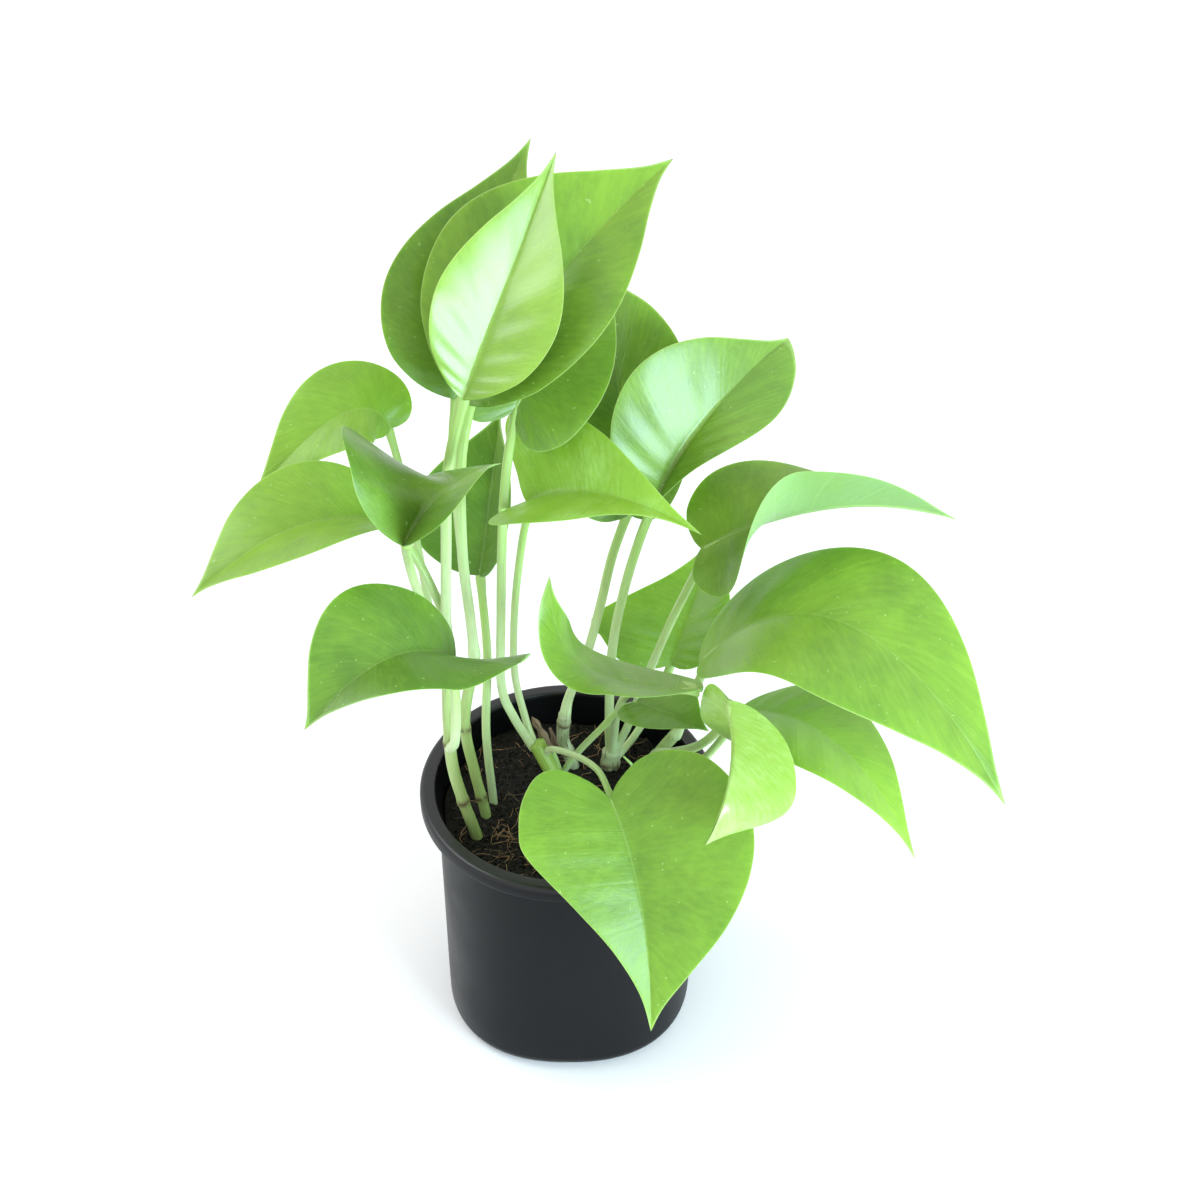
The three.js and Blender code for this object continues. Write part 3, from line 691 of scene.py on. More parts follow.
def fibre_material(settings):
    """Orange-brown coir, dark where it is damp."""
    material, tree, shader = new_material("coir_fibre")
    place = object_place(tree)
    damp = ramp(tree, noise_value(tree, place, 120, 3), 0.38, 0.62)
    streaks = ramp(tree, noise_value(tree, place, 2400, 2), 0.5, 0.8, 0, 0.5)
    base = blend(tree, damp, [c * 0.25 for c in settings.fibre], settings.fibre)
    set_inputs(tree, shader, {"Base Color": blend(tree, streaks, base, DRY_FIBRE), "Roughness": 0.6})
    return material


def leaf_age(tree, place, tint, streaks):
    """The leaf's tint, made uneven by mottling, broad blotches and streaks along the side veins."""
    mottling = ramp(tree, noise_value(tree, place, 45, 4, 0.6), 0.3, 0.7, -0.13, 0.13)
    blotches = ramp(tree, noise_value(tree, place, 13, 2), 0.35, 0.65, -0.14, 0.14)
    lean = add(tree, add(tree, mottling, blotches), ramp(tree, streaks, 0.3, 0.7, -0.09, 0.09))
    return add(tree, tint, lean)


def leaf_material(settings):
    """A waxy blade: mottled green, pale midrib and margin, faint side veins, and a duller underside."""
    material, tree, shader = new_material("leaf_blade")
    place = object_place(tree)
    names = ("tint", "row", "from_midrib", "from_margin", "underside", "gloss")
    tint, row, from_midrib, from_margin, under, gloss = (attribute(tree, name) for name in names)
    along_veins = combine(
        tree, multiply(tree, row, 90.0), multiply(tree, from_midrib, 0.22), multiply(tree, tint, 17.0)
    )
    streaks = noise_value(tree, along_veins, 1.0, 3, 0.6)
    age = leaf_age(tree, place, tint, streaks)
    shade = add_node(tree, "ShaderNodeClamp", {"Value": age}).outputs[0]
    vein_phase = calculate(tree, "FRACT", multiply(tree, row, float(settings.veins)))
    vein_gap = calculate(tree, "ABSOLUTE", calculate(tree, "SUBTRACT", vein_phase, 0.5))
    vein = ramp(tree, vein_gap, 0.43, 0.5)

    upper = blend(tree, shade, settings.deep, settings.bright)
    upper = blend(tree, ramp(tree, age, 1.0, 1.6), upper, settings.young)
    specks = ramp(tree, noise_value(tree, place, 640, 0), 0.81, 0.84, 0, 0.45)
    near_midrib = ramp(tree, from_midrib, 0.15, 0.6, 0.28, 0)
    fading = ramp(tree, row, 0.0, 0.9, 1.0, 0.45)
    for share in (specks, multiply(tree, vein, 0.03), multiply(tree, near_midrib, fading)):
        upper = blend(tree, share, upper, settings.pale)

    lower = blend(tree, multiply(tree, shade, 0.5), settings.under, settings.bright)
    for share in (multiply(tree, vein, 0.12), ramp(tree, from_midrib, 0.6, 1.6, 0.8, 0)):
        lower = blend(tree, share, lower, settings.pale)

    margin = ramp(tree, from_margin, 0.1, 0.45, 0.45, 0)
    waxy = ramp(tree, streaks, 0.3, 0.7, 0.32, 0.42)
    set_inputs(tree, shader, {
        "Base Color": blend(tree, margin, blend(tree, under, upper, lower), settings.pale),
        "Roughness": add(tree, waxy, multiply(tree, under, 0.16)),
        "Specular IOR Level": 0.3,
        "Coat Weight": multiply(tree, gloss, ramp(tree, under, 0, 1, 1.0, 0.3)),
        "Coat Roughness": 0.24,
        "Subsurface Weight": 0.3,
        "Subsurface Radius": (0.6, 1.0, 0.15),
        "Subsurface Scale": 0.0015,
    })
    crinkles = noise_value(tree, place, 260, 3, 0.6)
    height = add(tree, multiply(tree, streaks, 0.7), crinkles)
    height = calculate(tree, "SUBTRACT", height, multiply(tree, vein, 0.3))
    add_relief(tree, shader, height, 0.5, 0.00035)
    return material


def stalk_material(settings):
    """Fleshy stalk, paler towards its foot, with fine lengthwise streaks."""
    material, tree, shader = new_material("leaf_stalk")
    along = attribute(tree, "along")
    streaks = stem_streaks(tree, along, 6.0, 9.0, 1.0, 4, 0.6)
    mottling = noise_value(tree, object_place(tree), 90, 3)
    base = blend(tree, ramp(tree, along, 0.1, 0.9), settings.foot, settings.top)
    darker = [c * 0.55 for c in settings.top]
    base = blend(tree, ramp(tree, streaks, 0.45, 0.75, 0, 0.35), base, darker)
    set_inputs(tree, shader, {
        "Base Color": blend(tree, ramp(tree, mottling, 0.5, 0.75, 0, 0.3), base, STALK_MOTTLING),
        "Roughness": ramp(tree, mottling, 0.35, 0.65, 0.32, 0.46),
        "Subsurface Weight": 0.3,
        "Subsurface Radius": (0.6, 1.0, 0.2),
        "Subsurface Scale": 0.002,
    })
    add_relief(tree, shader, streaks, 0.3, 0.0003)
    return material


def cane_material(settings):
    """Green cane with corky brown rings at its joints and thin brown stripes along it."""
    material, tree, shader = new_material("cane")
    pale = attribute(tree, "pale")
    stripes = stem_streaks(tree, attribute(tree, "along"), 4.0, 3.0, 1.4, 5, 0.6)
    scurf = noise_value(tree, object_place(tree), 260, 5, 0.65)
    light = [min(1, c * 1.35) for c in settings.skin]
    base = blend(tree, ramp(tree, stripes, 0.35, 0.65), settings.skin, light)
    base = blend(tree, multiply(tree, pale, 0.85), base, settings.woody)
    dark = multiply(tree, ramp(tree, stripes, 0.56, 0.64), add(tree, pale, 0.15))
    base = blend(tree, dark, base, settings.cork)
    corky = multiply(tree, attribute(tree, "ring"), ramp(tree, scurf, 0.32, 0.6, 0.2, 1))
    set_inputs(tree, shader, {
        "Base Color": blend(tree, corky, base, settings.cork),
        "Roughness": ramp(tree, corky, 0, 1, 0.4, 0.85),
    })
    add_relief(tree, shader, add(tree, stripes, multiply(tree, scurf, 0.6)), 0.45, 0.0005)
    return material


def papery_material(settings):
    """Dry brown leaf sheath: thin, streaked and matt."""
    material, tree, shader = new_material("dry_sheath")
    streaks = stem_streaks(tree, attribute(tree, "along"), 9.0, 2.0, 1.6, 5, 0.65)
    base = blend(tree, ramp(tree, streaks, 0.35, 0.65), settings.cork, DRY_SHEATH)
    dark = ramp(tree, streaks, 0.6, 0.7, 0, 0.8)
    set_inputs(tree, shader, {"Base Color": blend(tree, dark, base, DARK_SHEATH), "Roughness": 0.8})
    add_relief(tree, shader, streaks, 0.6, 0.0004)
    return material


# ------------------------------------------------------------------ pot


def body_stretch(angle, height):
    """How far out the body lies at this angle, as a share of its radius: round at the rim, squarer below."""
    share = 1 - np.clip(height / (POT_HEIGHT - RIM_DROP), 0, 1)
    exponent = 2 + (BASE_SQUARENESS - 2) * share
    across = np.abs(np.cos(angle)) ** exponent
    along = np.abs(np.sin(angle)) ** exponent
    return (across + along) ** (-1 / exponent)


def wall_radius(height):
    share = height / (POT_HEIGHT - RIM_DROP)
    return BODY_BASE_RADIUS + (BODY_TOP_RADIUS - BODY_BASE_RADIUS) * share


def arc(centre, radius, start, end, steps):
    """Points of an arc from start to end degrees, counted from straight out towards up."""
    turns = np.radians(np.linspace(start, end, steps + 1))
    return [(centre[0] + radius * math.cos(t), centre[1] + radius * math.sin(t)) for t in turns]


def body_ring(radius, height, angles):
    """Points round the pot's axis that follow the body's squarer base."""
    out = radius * body_stretch(angles, height)
    return np.stack([out * np.cos(angles), out * np.sin(angles), np.full(len(angles), height)], axis=1)


def turned(name, profile, sides, material):
    """Turns a profile of (radius, height) points, from axis to axis, with the body's squarer base."""
    rings = [body_ring(radius, height, ring_turns(sides)) for radius, height in profile[1:-1]]
    vertices = np.vstack([*rings, (0, 0, profile[0][1]), (0, 0, profile[-1][1])])
    piece = new_piece(name, vertices, closed_faces(len(rings), sides), [material])
    merge_and_turn_out(piece)
    return piece


def pot_profile(edge):
    """From the centre of the underside out and up the wall, over the rim and down the inside."""
    foot = POT_HEIGHT - RIM_DROP
    body = wall_radius(foot)
    inner_rim = RIM_RADIUS - RIM_WIDTH
    corner = BODY_BASE_RADIUS - BASE_FILLET
    under_rim = POT_HEIGHT - 2 * WALL
    wall_steps = [(wall_radius(height), height) for height in np.linspace(BASE_FILLET, foot, 14)[1:]]
    inner_heights = np.linspace(foot - INSIDE_FLARE, BASE_FILLET + FLOOR, 12)
    inner_steps = [(wall_radius(height) - WALL, height) for height in inner_heights]
    return [
        (0, 0),
        (corner * 0.5, 0),
        *arc((corner, BASE_FILLET), BASE_FILLET, -90, 0, 12),
        *wall_steps,
        *arc((body + WALL_FILLET, under_rim - WALL_FILLET), WALL_FILLET, 180, 90, 4),
        *arc((RIM_RADIUS - WALL - LIP_FILLET, under_rim - LIP_FILLET), LIP_FILLET, 90, 0, 3),
        *arc((RIM_RADIUS - WALL / 2, foot + WALL / 2), WALL / 2, 180, 360, 8),
        *arc((RIM_RADIUS - 2 * edge, POT_HEIGHT - 2 * edge), 2 * edge, 0, 90, 8),
        *arc((inner_rim + edge, POT_HEIGHT - edge), edge, 90, 180, 6),
        *inner_steps,
        *arc((corner, BASE_FILLET + FLOOR - WALL), BASE_FILLET - WALL, 0, -90, 10),
        (corner * 0.5, FLOOR),
        (0, FLOOR),
    ]


def drill_holes(pot):
    """Cuts the drainage holes out of the floor."""
    build = bmesh.new()
    for hole in range(DRAIN_HOLES):
        angle = (hole + 0.5) * FULL_TURN / DRAIN_HOLES
        made = bmesh.ops.create_cone(
            build, cap_ends=True, segments=DRAIN_SIDES, depth=4 * FLOOR * MM,
            radius1=DRAIN_RADIUS * MM, radius2=DRAIN_RADIUS * MM,
        )
        offset = Vector((math.cos(angle), math.sin(angle), 0)) * DRAIN_CIRCLE * MM
        bmesh.ops.translate(build, verts=made["verts"], vec=offset)
    mesh = bpy.data.meshes.new("drills")
    build.to_mesh(mesh)
    build.free()
    drills = bpy.data.objects.new("drills", mesh)
    bpy.context.scene.collection.objects.link(drills)
    cut = pot.modifiers.new("drain", "BOOLEAN")
    cut.object = drills
    cut.operation = "DIFFERENCE"
    cut.solver = "EXACT"
    baked(pot, "pot_shell")
    bpy.data.objects.remove(drills)


class POTHOS_OT_pot(Operator):
    """Moulds the nursery pot with its turned-down rim and drainage holes"""

    bl_idname = "pothos.pot"
    bl_label = "Pot"

    def execute(self, context):
        settings = context.scene.pothos_pot
        profile = pot_profile(settings.edge / MM)
        pot = turned("pot_shell", profile, settings.sides, plastic_material(settings))
        drill_holes(pot)
        belongs(pot, "pot", "pot")
        return {"FINISHED"}


# ------------------------------------------------------------------ soil


def soil_height(x, y):
    return SOIL_TOP + SOIL_WAVE * np.sin(x / SOIL_WAVE_X + 1) * np.cos(y / SOIL_WAVE_Y)


def soil_edge(angles):
    return (wall_radius(SOIL_TOP) - WALL - SOIL_CLEARANCE) * body_stretch(angles, SOIL_TOP)


def soil_lumps(x, y):
    """How high the lumps of the mix rise at a place, before the soil's relief scales them."""
    large = noise.fractal((x / SOIL_LUMP, y / SOIL_LUMP, 0), 0.7, 2.2, 5)
    return large + 0.4 * abs(noise.noise((x / SOIL_SMALL_LUMP, y / SOIL_SMALL_LUMP, 4)))


def soil_surface(settings):
    """Rings of points on the lumpy surface, from the wall in to the last ring round the centre."""
    angles = ring_turns(SOIL_SIDES)
    rings = []
    for share in np.linspace(1, 1 / settings.rings, settings.rings):
        reach = soil_edge(angles) * share
        x, y = reach * np.cos(angles), reach * np.sin(angles)
        lumps = np.array([soil_lumps(*place) for place in zip(x, y)])
        height = soil_height(x, y) + settings.relief / MM * (lumps - 0.2)
        rings.append(np.stack([x, y, height], axis=1))
    return rings


class POTHOS_OT_soil(Operator):
    """Fills the pot with potting mix that has a lumpy top"""

    bl_idname = "pothos.soil"
    bl_label = "Soil"

    def execute(self, context):
        settings = context.scene.pothos_soil
        angles = ring_turns(SOIL_SIDES)
        inset = BASE_FILLET - WALL - SOIL_CLEARANCE
        corner = BODY_BASE_RADIUS - BASE_FILLET
        low = [body_ring(*place, angles) for place in arc((corner, inset + SOIL_UNDERSIDE), inset, -90, 0, 6)]
        rings = [*low, *soil_surface(settings)]
        vertices = np.vstack([*rings, (0, 0, SOIL_UNDERSIDE), (0, 0, rings[-1][:, 2].mean())])
        faces = closed_faces(len(rings), SOIL_SIDES)
        soil = new_piece("potting_soil", vertices, faces, [earth_material(settings)])
        merge_and_turn_out(soil)
        belongs(soil, "soil", "soil")
        return {"FINISHED"}


def soil_sheet(settings, name, inner_share):
    """The soil's surface alone, out to inner_share of its radius, for scattering on."""
    rings = soil_surface(settings)
    kept = [ring for ring, share in zip(rings, np.linspace(1, 0, len(rings))) if share <= inner_share]
    vertices = np.vstack([*kept, (0, 0, kept[-1][:, 2].mean())])
    faces = ring_faces(len(kept), SOIL_SIDES)
    top = (len(kept) - 1) * SOIL_SIDES
    for side in range(SOIL_SIDES):
        faces.append((len(vertices) - 1, top + side, top + (side + 1) % SOIL_SIDES))
    return new_piece(name, vertices, faces, [])


def scatter_tree(name, **sockets):
    """A geometry tree with a geometry input and output and the named inputs."""
    tree = bpy.data.node_groups.new(name, "GeometryNodeTree")
    tree.interface.new_socket("Geometry", in_out="INPUT", socket_type="NodeSocketGeometry")
    for label, kind in sockets.items():
        tree.interface.new_socket(label, in_out="INPUT", socket_type=f"NodeSocket{kind}")
    tree.interface.new_socket("Geometry", in_out="OUTPUT", socket_type="NodeSocketGeometry")
    return tree, tree.nodes.new("NodeGroupInput").outputs, tree.nodes.new("NodeGroupOutput").inputs


def random_vector(tree, low, high, seed):
    inputs = {0: low, 1: high, "Seed": seed}
    return add_node(tree, "FunctionNodeRandomValue", inputs, data_type="FLOAT_VECTOR").outputs[0]


def scattered(tree, entry, density, instance, turn, size):
    """Copies of instance at random places on the surface, made real."""
    points = add_node(tree, "GeometryNodeDistributePointsOnFaces", {
        "Mesh": entry["Geometry"], "Density": density, "Seed": entry["Seed"],
    }).outputs["Points"]
    placed = add_node(tree, "GeometryNodeInstanceOnPoints", {
        "Points": points, "Instance": instance, "Rotation": turn, "Scale": size,
    }).outputs[0]
    return add_node(tree, "GeometryNodeRealizeInstances", {0: placed}).outputs[0]


def with_material(tree, entry, geometry):
    inputs = {0: geometry, "Material": entry["Material"]}
    return add_node(tree, "GeometryNodeSetMaterial", inputs).outputs[0]


def moved(tree, geometry, **inputs):
    """The geometry with a new Position, or shifted by an Offset."""
    return add_node(tree, "GeometryNodeSetPosition", {"Geometry": geometry, **inputs}).outputs[0]


def wandering(tree, where, scale, middle):
    """A noise vector at each place, with middle taken off."""
    inputs = {"Vector": where, "Scale": scale, "Detail": 1.0}
    wander = add_node(tree, "ShaderNodeTexNoise", inputs).outputs["Color"]
    return vector_math(tree, "SUBTRACT", wander, middle)[0]


def run_tree(piece, tree, values):
    """Runs the tree on the piece with its named inputs and keeps the result as a plain mesh."""
    modifier = piece.modifiers.new("scatter", "NODES")
    modifier.node_group = tree
    sockets = {item.name: item.identifier for item in tree.interface.items_tree if item.in_out == "INPUT"}
    for label, value in values.items():
        modifier[sockets[label]] = value
    return baked(piece, piece.name)


def crumb_tree():
    """Small uneven lumps, turned and sized at random, half sunk in the surface."""
    tree, entry, leave = scatter_tree(
        "scatter_crumbs", Density="Float", Size="Float", Seed="Int", Material="Material"
    )
    lump = add_node(tree, "GeometryNodeMeshIcoSphere", {"Radius": 0.5, "Subdivisions": 2}).outputs["Mesh"]
    turn = random_vector(tree, (0, 0, 0), (SCATTER_TURN, SCATTER_TURN, SCATTER_TURN), entry["Seed"])
    size = random_vector(tree, CRUMB_SMALLEST, CRUMB_LARGEST, CRUMB_SIZE_SEED)
    real = scattered(tree, entry, entry["Density"], lump, turn, scaled(tree, size, entry["Size"]))
    where = add_node(tree, "GeometryNodeInputPosition").outputs[0]
    shift = scaled(tree, wandering(tree, where, 1100.0, (0.5, 0.5, 0.5)), CRUMB_UNEVENNESS)
    uneven = moved(tree, real, Offset=shift)
    tree.links.new(with_material(tree, entry, uneven), leave["Geometry"])
    return tree


def fibre_tree():
    """Thin wandering fibres that lie on the surface and dip into it, thickest in one heap."""
    tree, entry, leave = scatter_tree(
        "scatter_fibres", Density="Float", Length="Float", Radius="Float", Seed="Int", Material="Material"
    )
    where = add_node(tree, "GeometryNodeInputPosition").outputs[0]
    away = vector_math(tree, "DISTANCE", where, HEAP_PLACE)["Value"]
    density = multiply(tree, entry["Density"], ramp(tree, away, 0.0, HEAP_SIZE, 1.0, HEAP_OUTSIDE))
    ends = {"Start": (-0.5, 0, 0), "End": (0.5, 0, 0)}
    strand = add_node(tree, "GeometryNodeCurvePrimitiveLine", ends).outputs[0]
    strand = add_node(tree, "GeometryNodeResampleCurve", {"Curve": strand, "Count": 12}).outputs[0]
    turn = random_vector(tree, (0, -FIBRE_DIP, 0), (0, FIBRE_DIP, SCATTER_TURN), entry["Seed"])
    inputs = {2: 0.25, 3: 1.0, "Seed": FIBRE_SIZE_SEED}
    size = add_node(tree, "FunctionNodeRandomValue", inputs, data_type="FLOAT").outputs[1]
    real = scattered(tree, entry, density, strand, turn, multiply(tree, size, entry["Length"]))
    wander = wandering(tree, where, 130.0, (0.5, 0.5, 0.42))
    bent = moved(tree, real, Offset=vector_math(tree, "MULTIPLY", wander, FIBRE_WANDER)[0])

    # Fibres that would reach through the pot's wall are pulled in to it.
    limit = (wall_radius(SOIL_TOP) - WALL - FIBRE_WALL_GAP) * MM
    flat = vector_math(tree, "MULTIPLY", where, (1, 1, 0))[0]
    reach = vector_math(tree, "LENGTH", flat)["Value"]
    pull = calculate(tree, "MINIMUM", calculate(tree, "DIVIDE", limit, reach), 1.0)
    inside = vector_math(tree, "MULTIPLY", where, combine(tree, pull, pull, 1.0))[0]
    kept = moved(tree, bent, Position=inside)

    inputs = {"Resolution": 4, "Radius": entry["Radius"]}
    section = add_node(tree, "GeometryNodeCurvePrimitiveCircle", inputs).outputs[0]
    inputs = {"Curve": kept, "Profile Curve": section, "Fill Caps": True}
    solid = add_node(tree, "GeometryNodeCurveToMesh", inputs).outputs[0]
    coloured = with_material(tree, entry, solid)
    done = add_node(tree, "GeometryNodeRealizeInstances", {0: coloured}).outputs[0]
    tree.links.new(done, leave["Geometry"])
    return tree


class POTHOS_OT_soil_crumbs(Operator):
    """Scatters crumbs of bark and coir on the soil"""

    bl_idname = "pothos.soil_crumbs"
    bl_label = "Soil crumbs"

    def execute(self, context):
        settings = context.scene.pothos_soil
        crumbs = soil_sheet(settings, "soil_crumbs", CRUMB_REACH)
        run_tree(crumbs, crumb_tree(), {
            "Density": settings.crumb_density, "Size": settings.crumb_size,
            "Seed": CRUMB_SEED, "Material": crumb_material(settings),
        })
        belongs(crumbs, "soil")
        return {"FINISHED"}


class POTHOS_OT_coir_fibres(Operator):
    """Scatters coir fibres on the soil"""

    bl_idname = "pothos.coir_fibres"
    bl_label = "Coir fibres"

    def execute(self, context):
        settings = context.scene.pothos_soil
        fibres = soil_sheet(settings, "coir_fibres", FIBRE_REACH)
        run_tree(fibres, fibre_tree(), {
            "Density": settings.fibre_density, "Length": settings.fibre_length,
            "Radius": settings.fibre_radius, "Seed": FIBRE_SEED, "Material": fibre_material(settings),
        })
        belongs(fibres, "soil")
        return {"FINISHED"}


# ------------------------------------------------------------------ canes, stalks and shoots


class POTHOS_OT_canes(Operator):
    """Grows the canes with a ring at each joint"""

    bl_idname = "pothos.canes"
    bl_label = "Canes"

    def execute(self, context):
        settings = context.scene.pothos_cane
        material = cane_material(settings)
        for name, cane in CANES.items():
            path = evenly(cane["path"], CANE_STEP)
            run = np.linspace(0, 1, len(path))
            total = step_lengths(path).sum()
            rings = sum(bump(run, joint, RING_WIDTH / total) for joint in cane["joints"])
            uneven = np.array([noise.noise((share * total / CANE_LUMP, cane["radius"], 1)) for share in run])
            radii = cane["radius"] * (1 + settings.ring * rings + CANE_UNEVENNESS * uneven)
            piece = tube(f"cane_{name}_stem", path, radii, settings.sides, material)
            along = np.array([value.value for value in piece.data.attributes["along"].data])
            add_values(piece, "ring", np.clip(np.interp(along, run, rings), 0, 1))
            add_values(piece, "pale", np.full(len(along), cane["pale"]))
            belongs(piece, "cane", f"cane_{name}")
        return {"FINISHED"}


class POTHOS_OT_leaf_stalks(Operator):
    """Grows a channelled stalk to each blade, with a swollen joint under it"""

    bl_idname = "pothos.leaf_stalks"
    bl_label = "Leaf stalks"

    def execute(self, context):
        settings = context.scene.pothos_stalk
        material = stalk_material(settings)
        for name, leaf in LEAVES.items():
            blade = Blade(leaf)
            radius = leaf["radius"]
            path = evenly([*leaf["stalk"], blade.seat(radius)], settings.step / MM)
            rib = blade.under_midrib(np.linspace(0.05, 0.16, 5), 0.9)
            path = np.vstack([path, rib])
            steps = step_lengths(path)
            in_rib = steps[-4:].sum()
            left = np.concatenate([np.cumsum(steps[::-1])[::-1], [0]]) - in_rib
            swollen = 1 + settings.swelling * bump(left, SWELLING_PLACE, SWELLING_WIDTH)
            foot = 1 + FOOT_FLARE * bump(left, left[0], FOOT_WIDTH)
            fading = np.interp(left, [-in_rib, 0, FADING_LENGTH], [0.28, 0.75, 1])
            piece = tube(
                f"stalk_{name}_stem", path, radius * swollen * foot * fading, settings.sides, material,
                blade.out_at_base(), settings.channel,
            )
            belongs(piece, "leaf_stalk", f"stalk_{name}")
        return {"FINISHED"}


class POTHOS_OT_shoots(Operator):
    """Grows the side shoot, the tendril and the dry stub"""

    bl_idname = "pothos.shoots"
    bl_label = "Shoots"

    def execute(self, context):
        stalk = stalk_material(context.scene.pothos_stalk)
        dry = papery_material(context.scene.pothos_cane)
        for name, shoot in SHOOTS.items():
            path = evenly(shoot["path"], SHOOT_STEP)
            radii = shoot["radius"] * np.interp(np.linspace(0, 1, len(path)), [0, 0.7, 1], [1, 0.95, 0.45])
            material, slot = (dry, "dry_sheath") if name == "dry_stub" else (stalk, "leaf_stalk")
            belongs(tube(f"{name}_stem", path, radii, SHOOT_SIDES, material), slot, name)
        return {"FINISHED"}


class POTHOS_OT_dry_sheath(Operator):
    """Lays the papery remains of a leaf sheath against the middle cane's top"""

    bl_idname = "pothos.dry_sheath"
    bl_label = "Dry sheath"

    def execute(self, context):
        path = evenly(SHEATH_PATH, SHOOT_STEP)
        run = np.linspace(0, 1, len(path))
        radii = SHEATH_RADIUS * np.interp(run, [0, 0.3, 0.8, 1], [0.8, 1.25, 1, 0.4])
        radii += SHEATH_RIPPLE * np.sin(run * 17)
        material = papery_material(context.scene.pothos_cane)
        piece = tube("dry_sheath_scale", path, radii, SHEATH_SIDES, material)
        belongs(piece, "dry_sheath", "dry_sheath")
        return {"FINISHED"}


# ------------------------------------------------------------------ blades


def mixed_outline(heart, tail):
    """A half outline between oval and heart-shaped."""
    outline = []
    for (oval_x, oval_y), (heart_x, heart_y) in zip(OVAL_OUTLINE, HEART_OUTLINE):
        x = oval_x + (heart_x - oval_x) * heart
        x -= tail * 2 * max(x, 0) * (1 - x)
        outline.append((x, oval_y + (heart_y - oval_y) * heart))
    return outline


def lift_at(lift, along):
    """How far a half is folded up, in degrees, at a share of the midrib."""
    if not isinstance(lift, tuple):
        return np.full_like(along, lift)
    at_stalk, at_tip, start, end = lift
    share = np.clip((along - start) / (end - start), 0, 1)
    return at_stalk + (at_tip - at_stalk) * share * share * (3 - 2 * share)


class Blade:
    """A leaf blade: a bent midrib and two lifted halves, each with its outline. All in millimetres."""

    def __init__(self, leaf):
        self.base, mid, self.tip = (np.asarray(point, float) for point in leaf["midrib"])
        self.bend = 2 * mid - (self.base + self.tip) / 2
        halves = (leaf["left"], leaf["right"])
        self.widths = [width for width, _, _, _ in halves]
        self.lifts = [lift for _, lift, _, _ in halves]
        self.outlines = [mixed_outline(heart, tail) for _, _, heart, tail in halves]
        self.faces = np.asarray(leaf["faces"], float)
        self.wave = leaf["wave"]
        self.tint = leaf["tint"]
        steps = self.midrib(np.linspace(0, 1, 200))[0]
        self.length = step_lengths(steps).sum()

    def midrib(self, along):
        t = np.clip(along, 0, 1)[..., None]
        point = (1 - t) ** 2 * self.base + 2 * t * (1 - t) * self.bend + t**2 * self.tip
        ahead = normalised(2 * (1 - t) * (self.bend - self.base) + 2 * t * (self.tip - self.bend))
        return point, ahead

    def axes(self, along):
        """The point on the midrib, and the directions to the left and out of the upper face."""
        point, ahead = self.midrib(along)
        out = normalised(self.faces - ahead * (ahead @ self.faces)[..., None])
        point = point + ahead * (np.minimum(along, 0) * self.length)[..., None]
        return point, np.cross(out, ahead), out

    def out_at_base(self):
        return self.axes(np.array([0.0]))[2][0]

    def under_midrib(self, along, depth):
        point, _, out = self.axes(along)
        return point - out * depth

    def seat(self, radius):
        """Where the stalk ends, under the midrib's first millimetres."""
        return self.under_midrib(np.array([SEAT]), radius / 2 + 0.5)[0]

    def surface(self, row, across, settings):
        """Points of the blade's middle sheet. row goes from notch to tip, and across from right to left."""
        share = np.abs(across)
        on_left = across >= 0
        side = np.where(on_left, 1, -1)
        margins = [spline(outline, row, mirrored=False) for outline in self.outlines]
        margin = np.where(on_left[..., None], *margins)
        half = np.where(on_left, *self.widths)
        margin_x, margin_y = margin[..., 0], np.maximum(margin[..., 1], 0)
        along = (1 - share) * row**ROW_SWEEP + share * margin_x
        reach = share * margin_y
        point, left, out = self.axes(along)
        lift = np.radians(np.where(on_left, *(lift_at(lift, along) for lift in self.lifts)))
        curl = math.radians(MARGIN_CURL)
        slope = lift - curl * reach
        outward = (np.sin(lift) - np.sin(slope)) / curl
        upward = (np.cos(slope) - np.cos(lift)) / curl
        inside = np.clip(8 * row * (1 - row), 0, 1)
        ripple = self.wave * np.sin(FULL_TURN * (MARGIN_WAVES * row + 0.31 * side + self.tint)) * reach**2
        quilt = settings.quilting / MM * np.cos(FULL_TURN * settings.veins * row) * 4 * reach * (1 - share)
        point = point + left * (side * half * outward)[..., None]
        point = point + out * (half * upward + inside * (ripple + quilt))[..., None]
        return point, reach * half, (1 - share) * margin_y * half


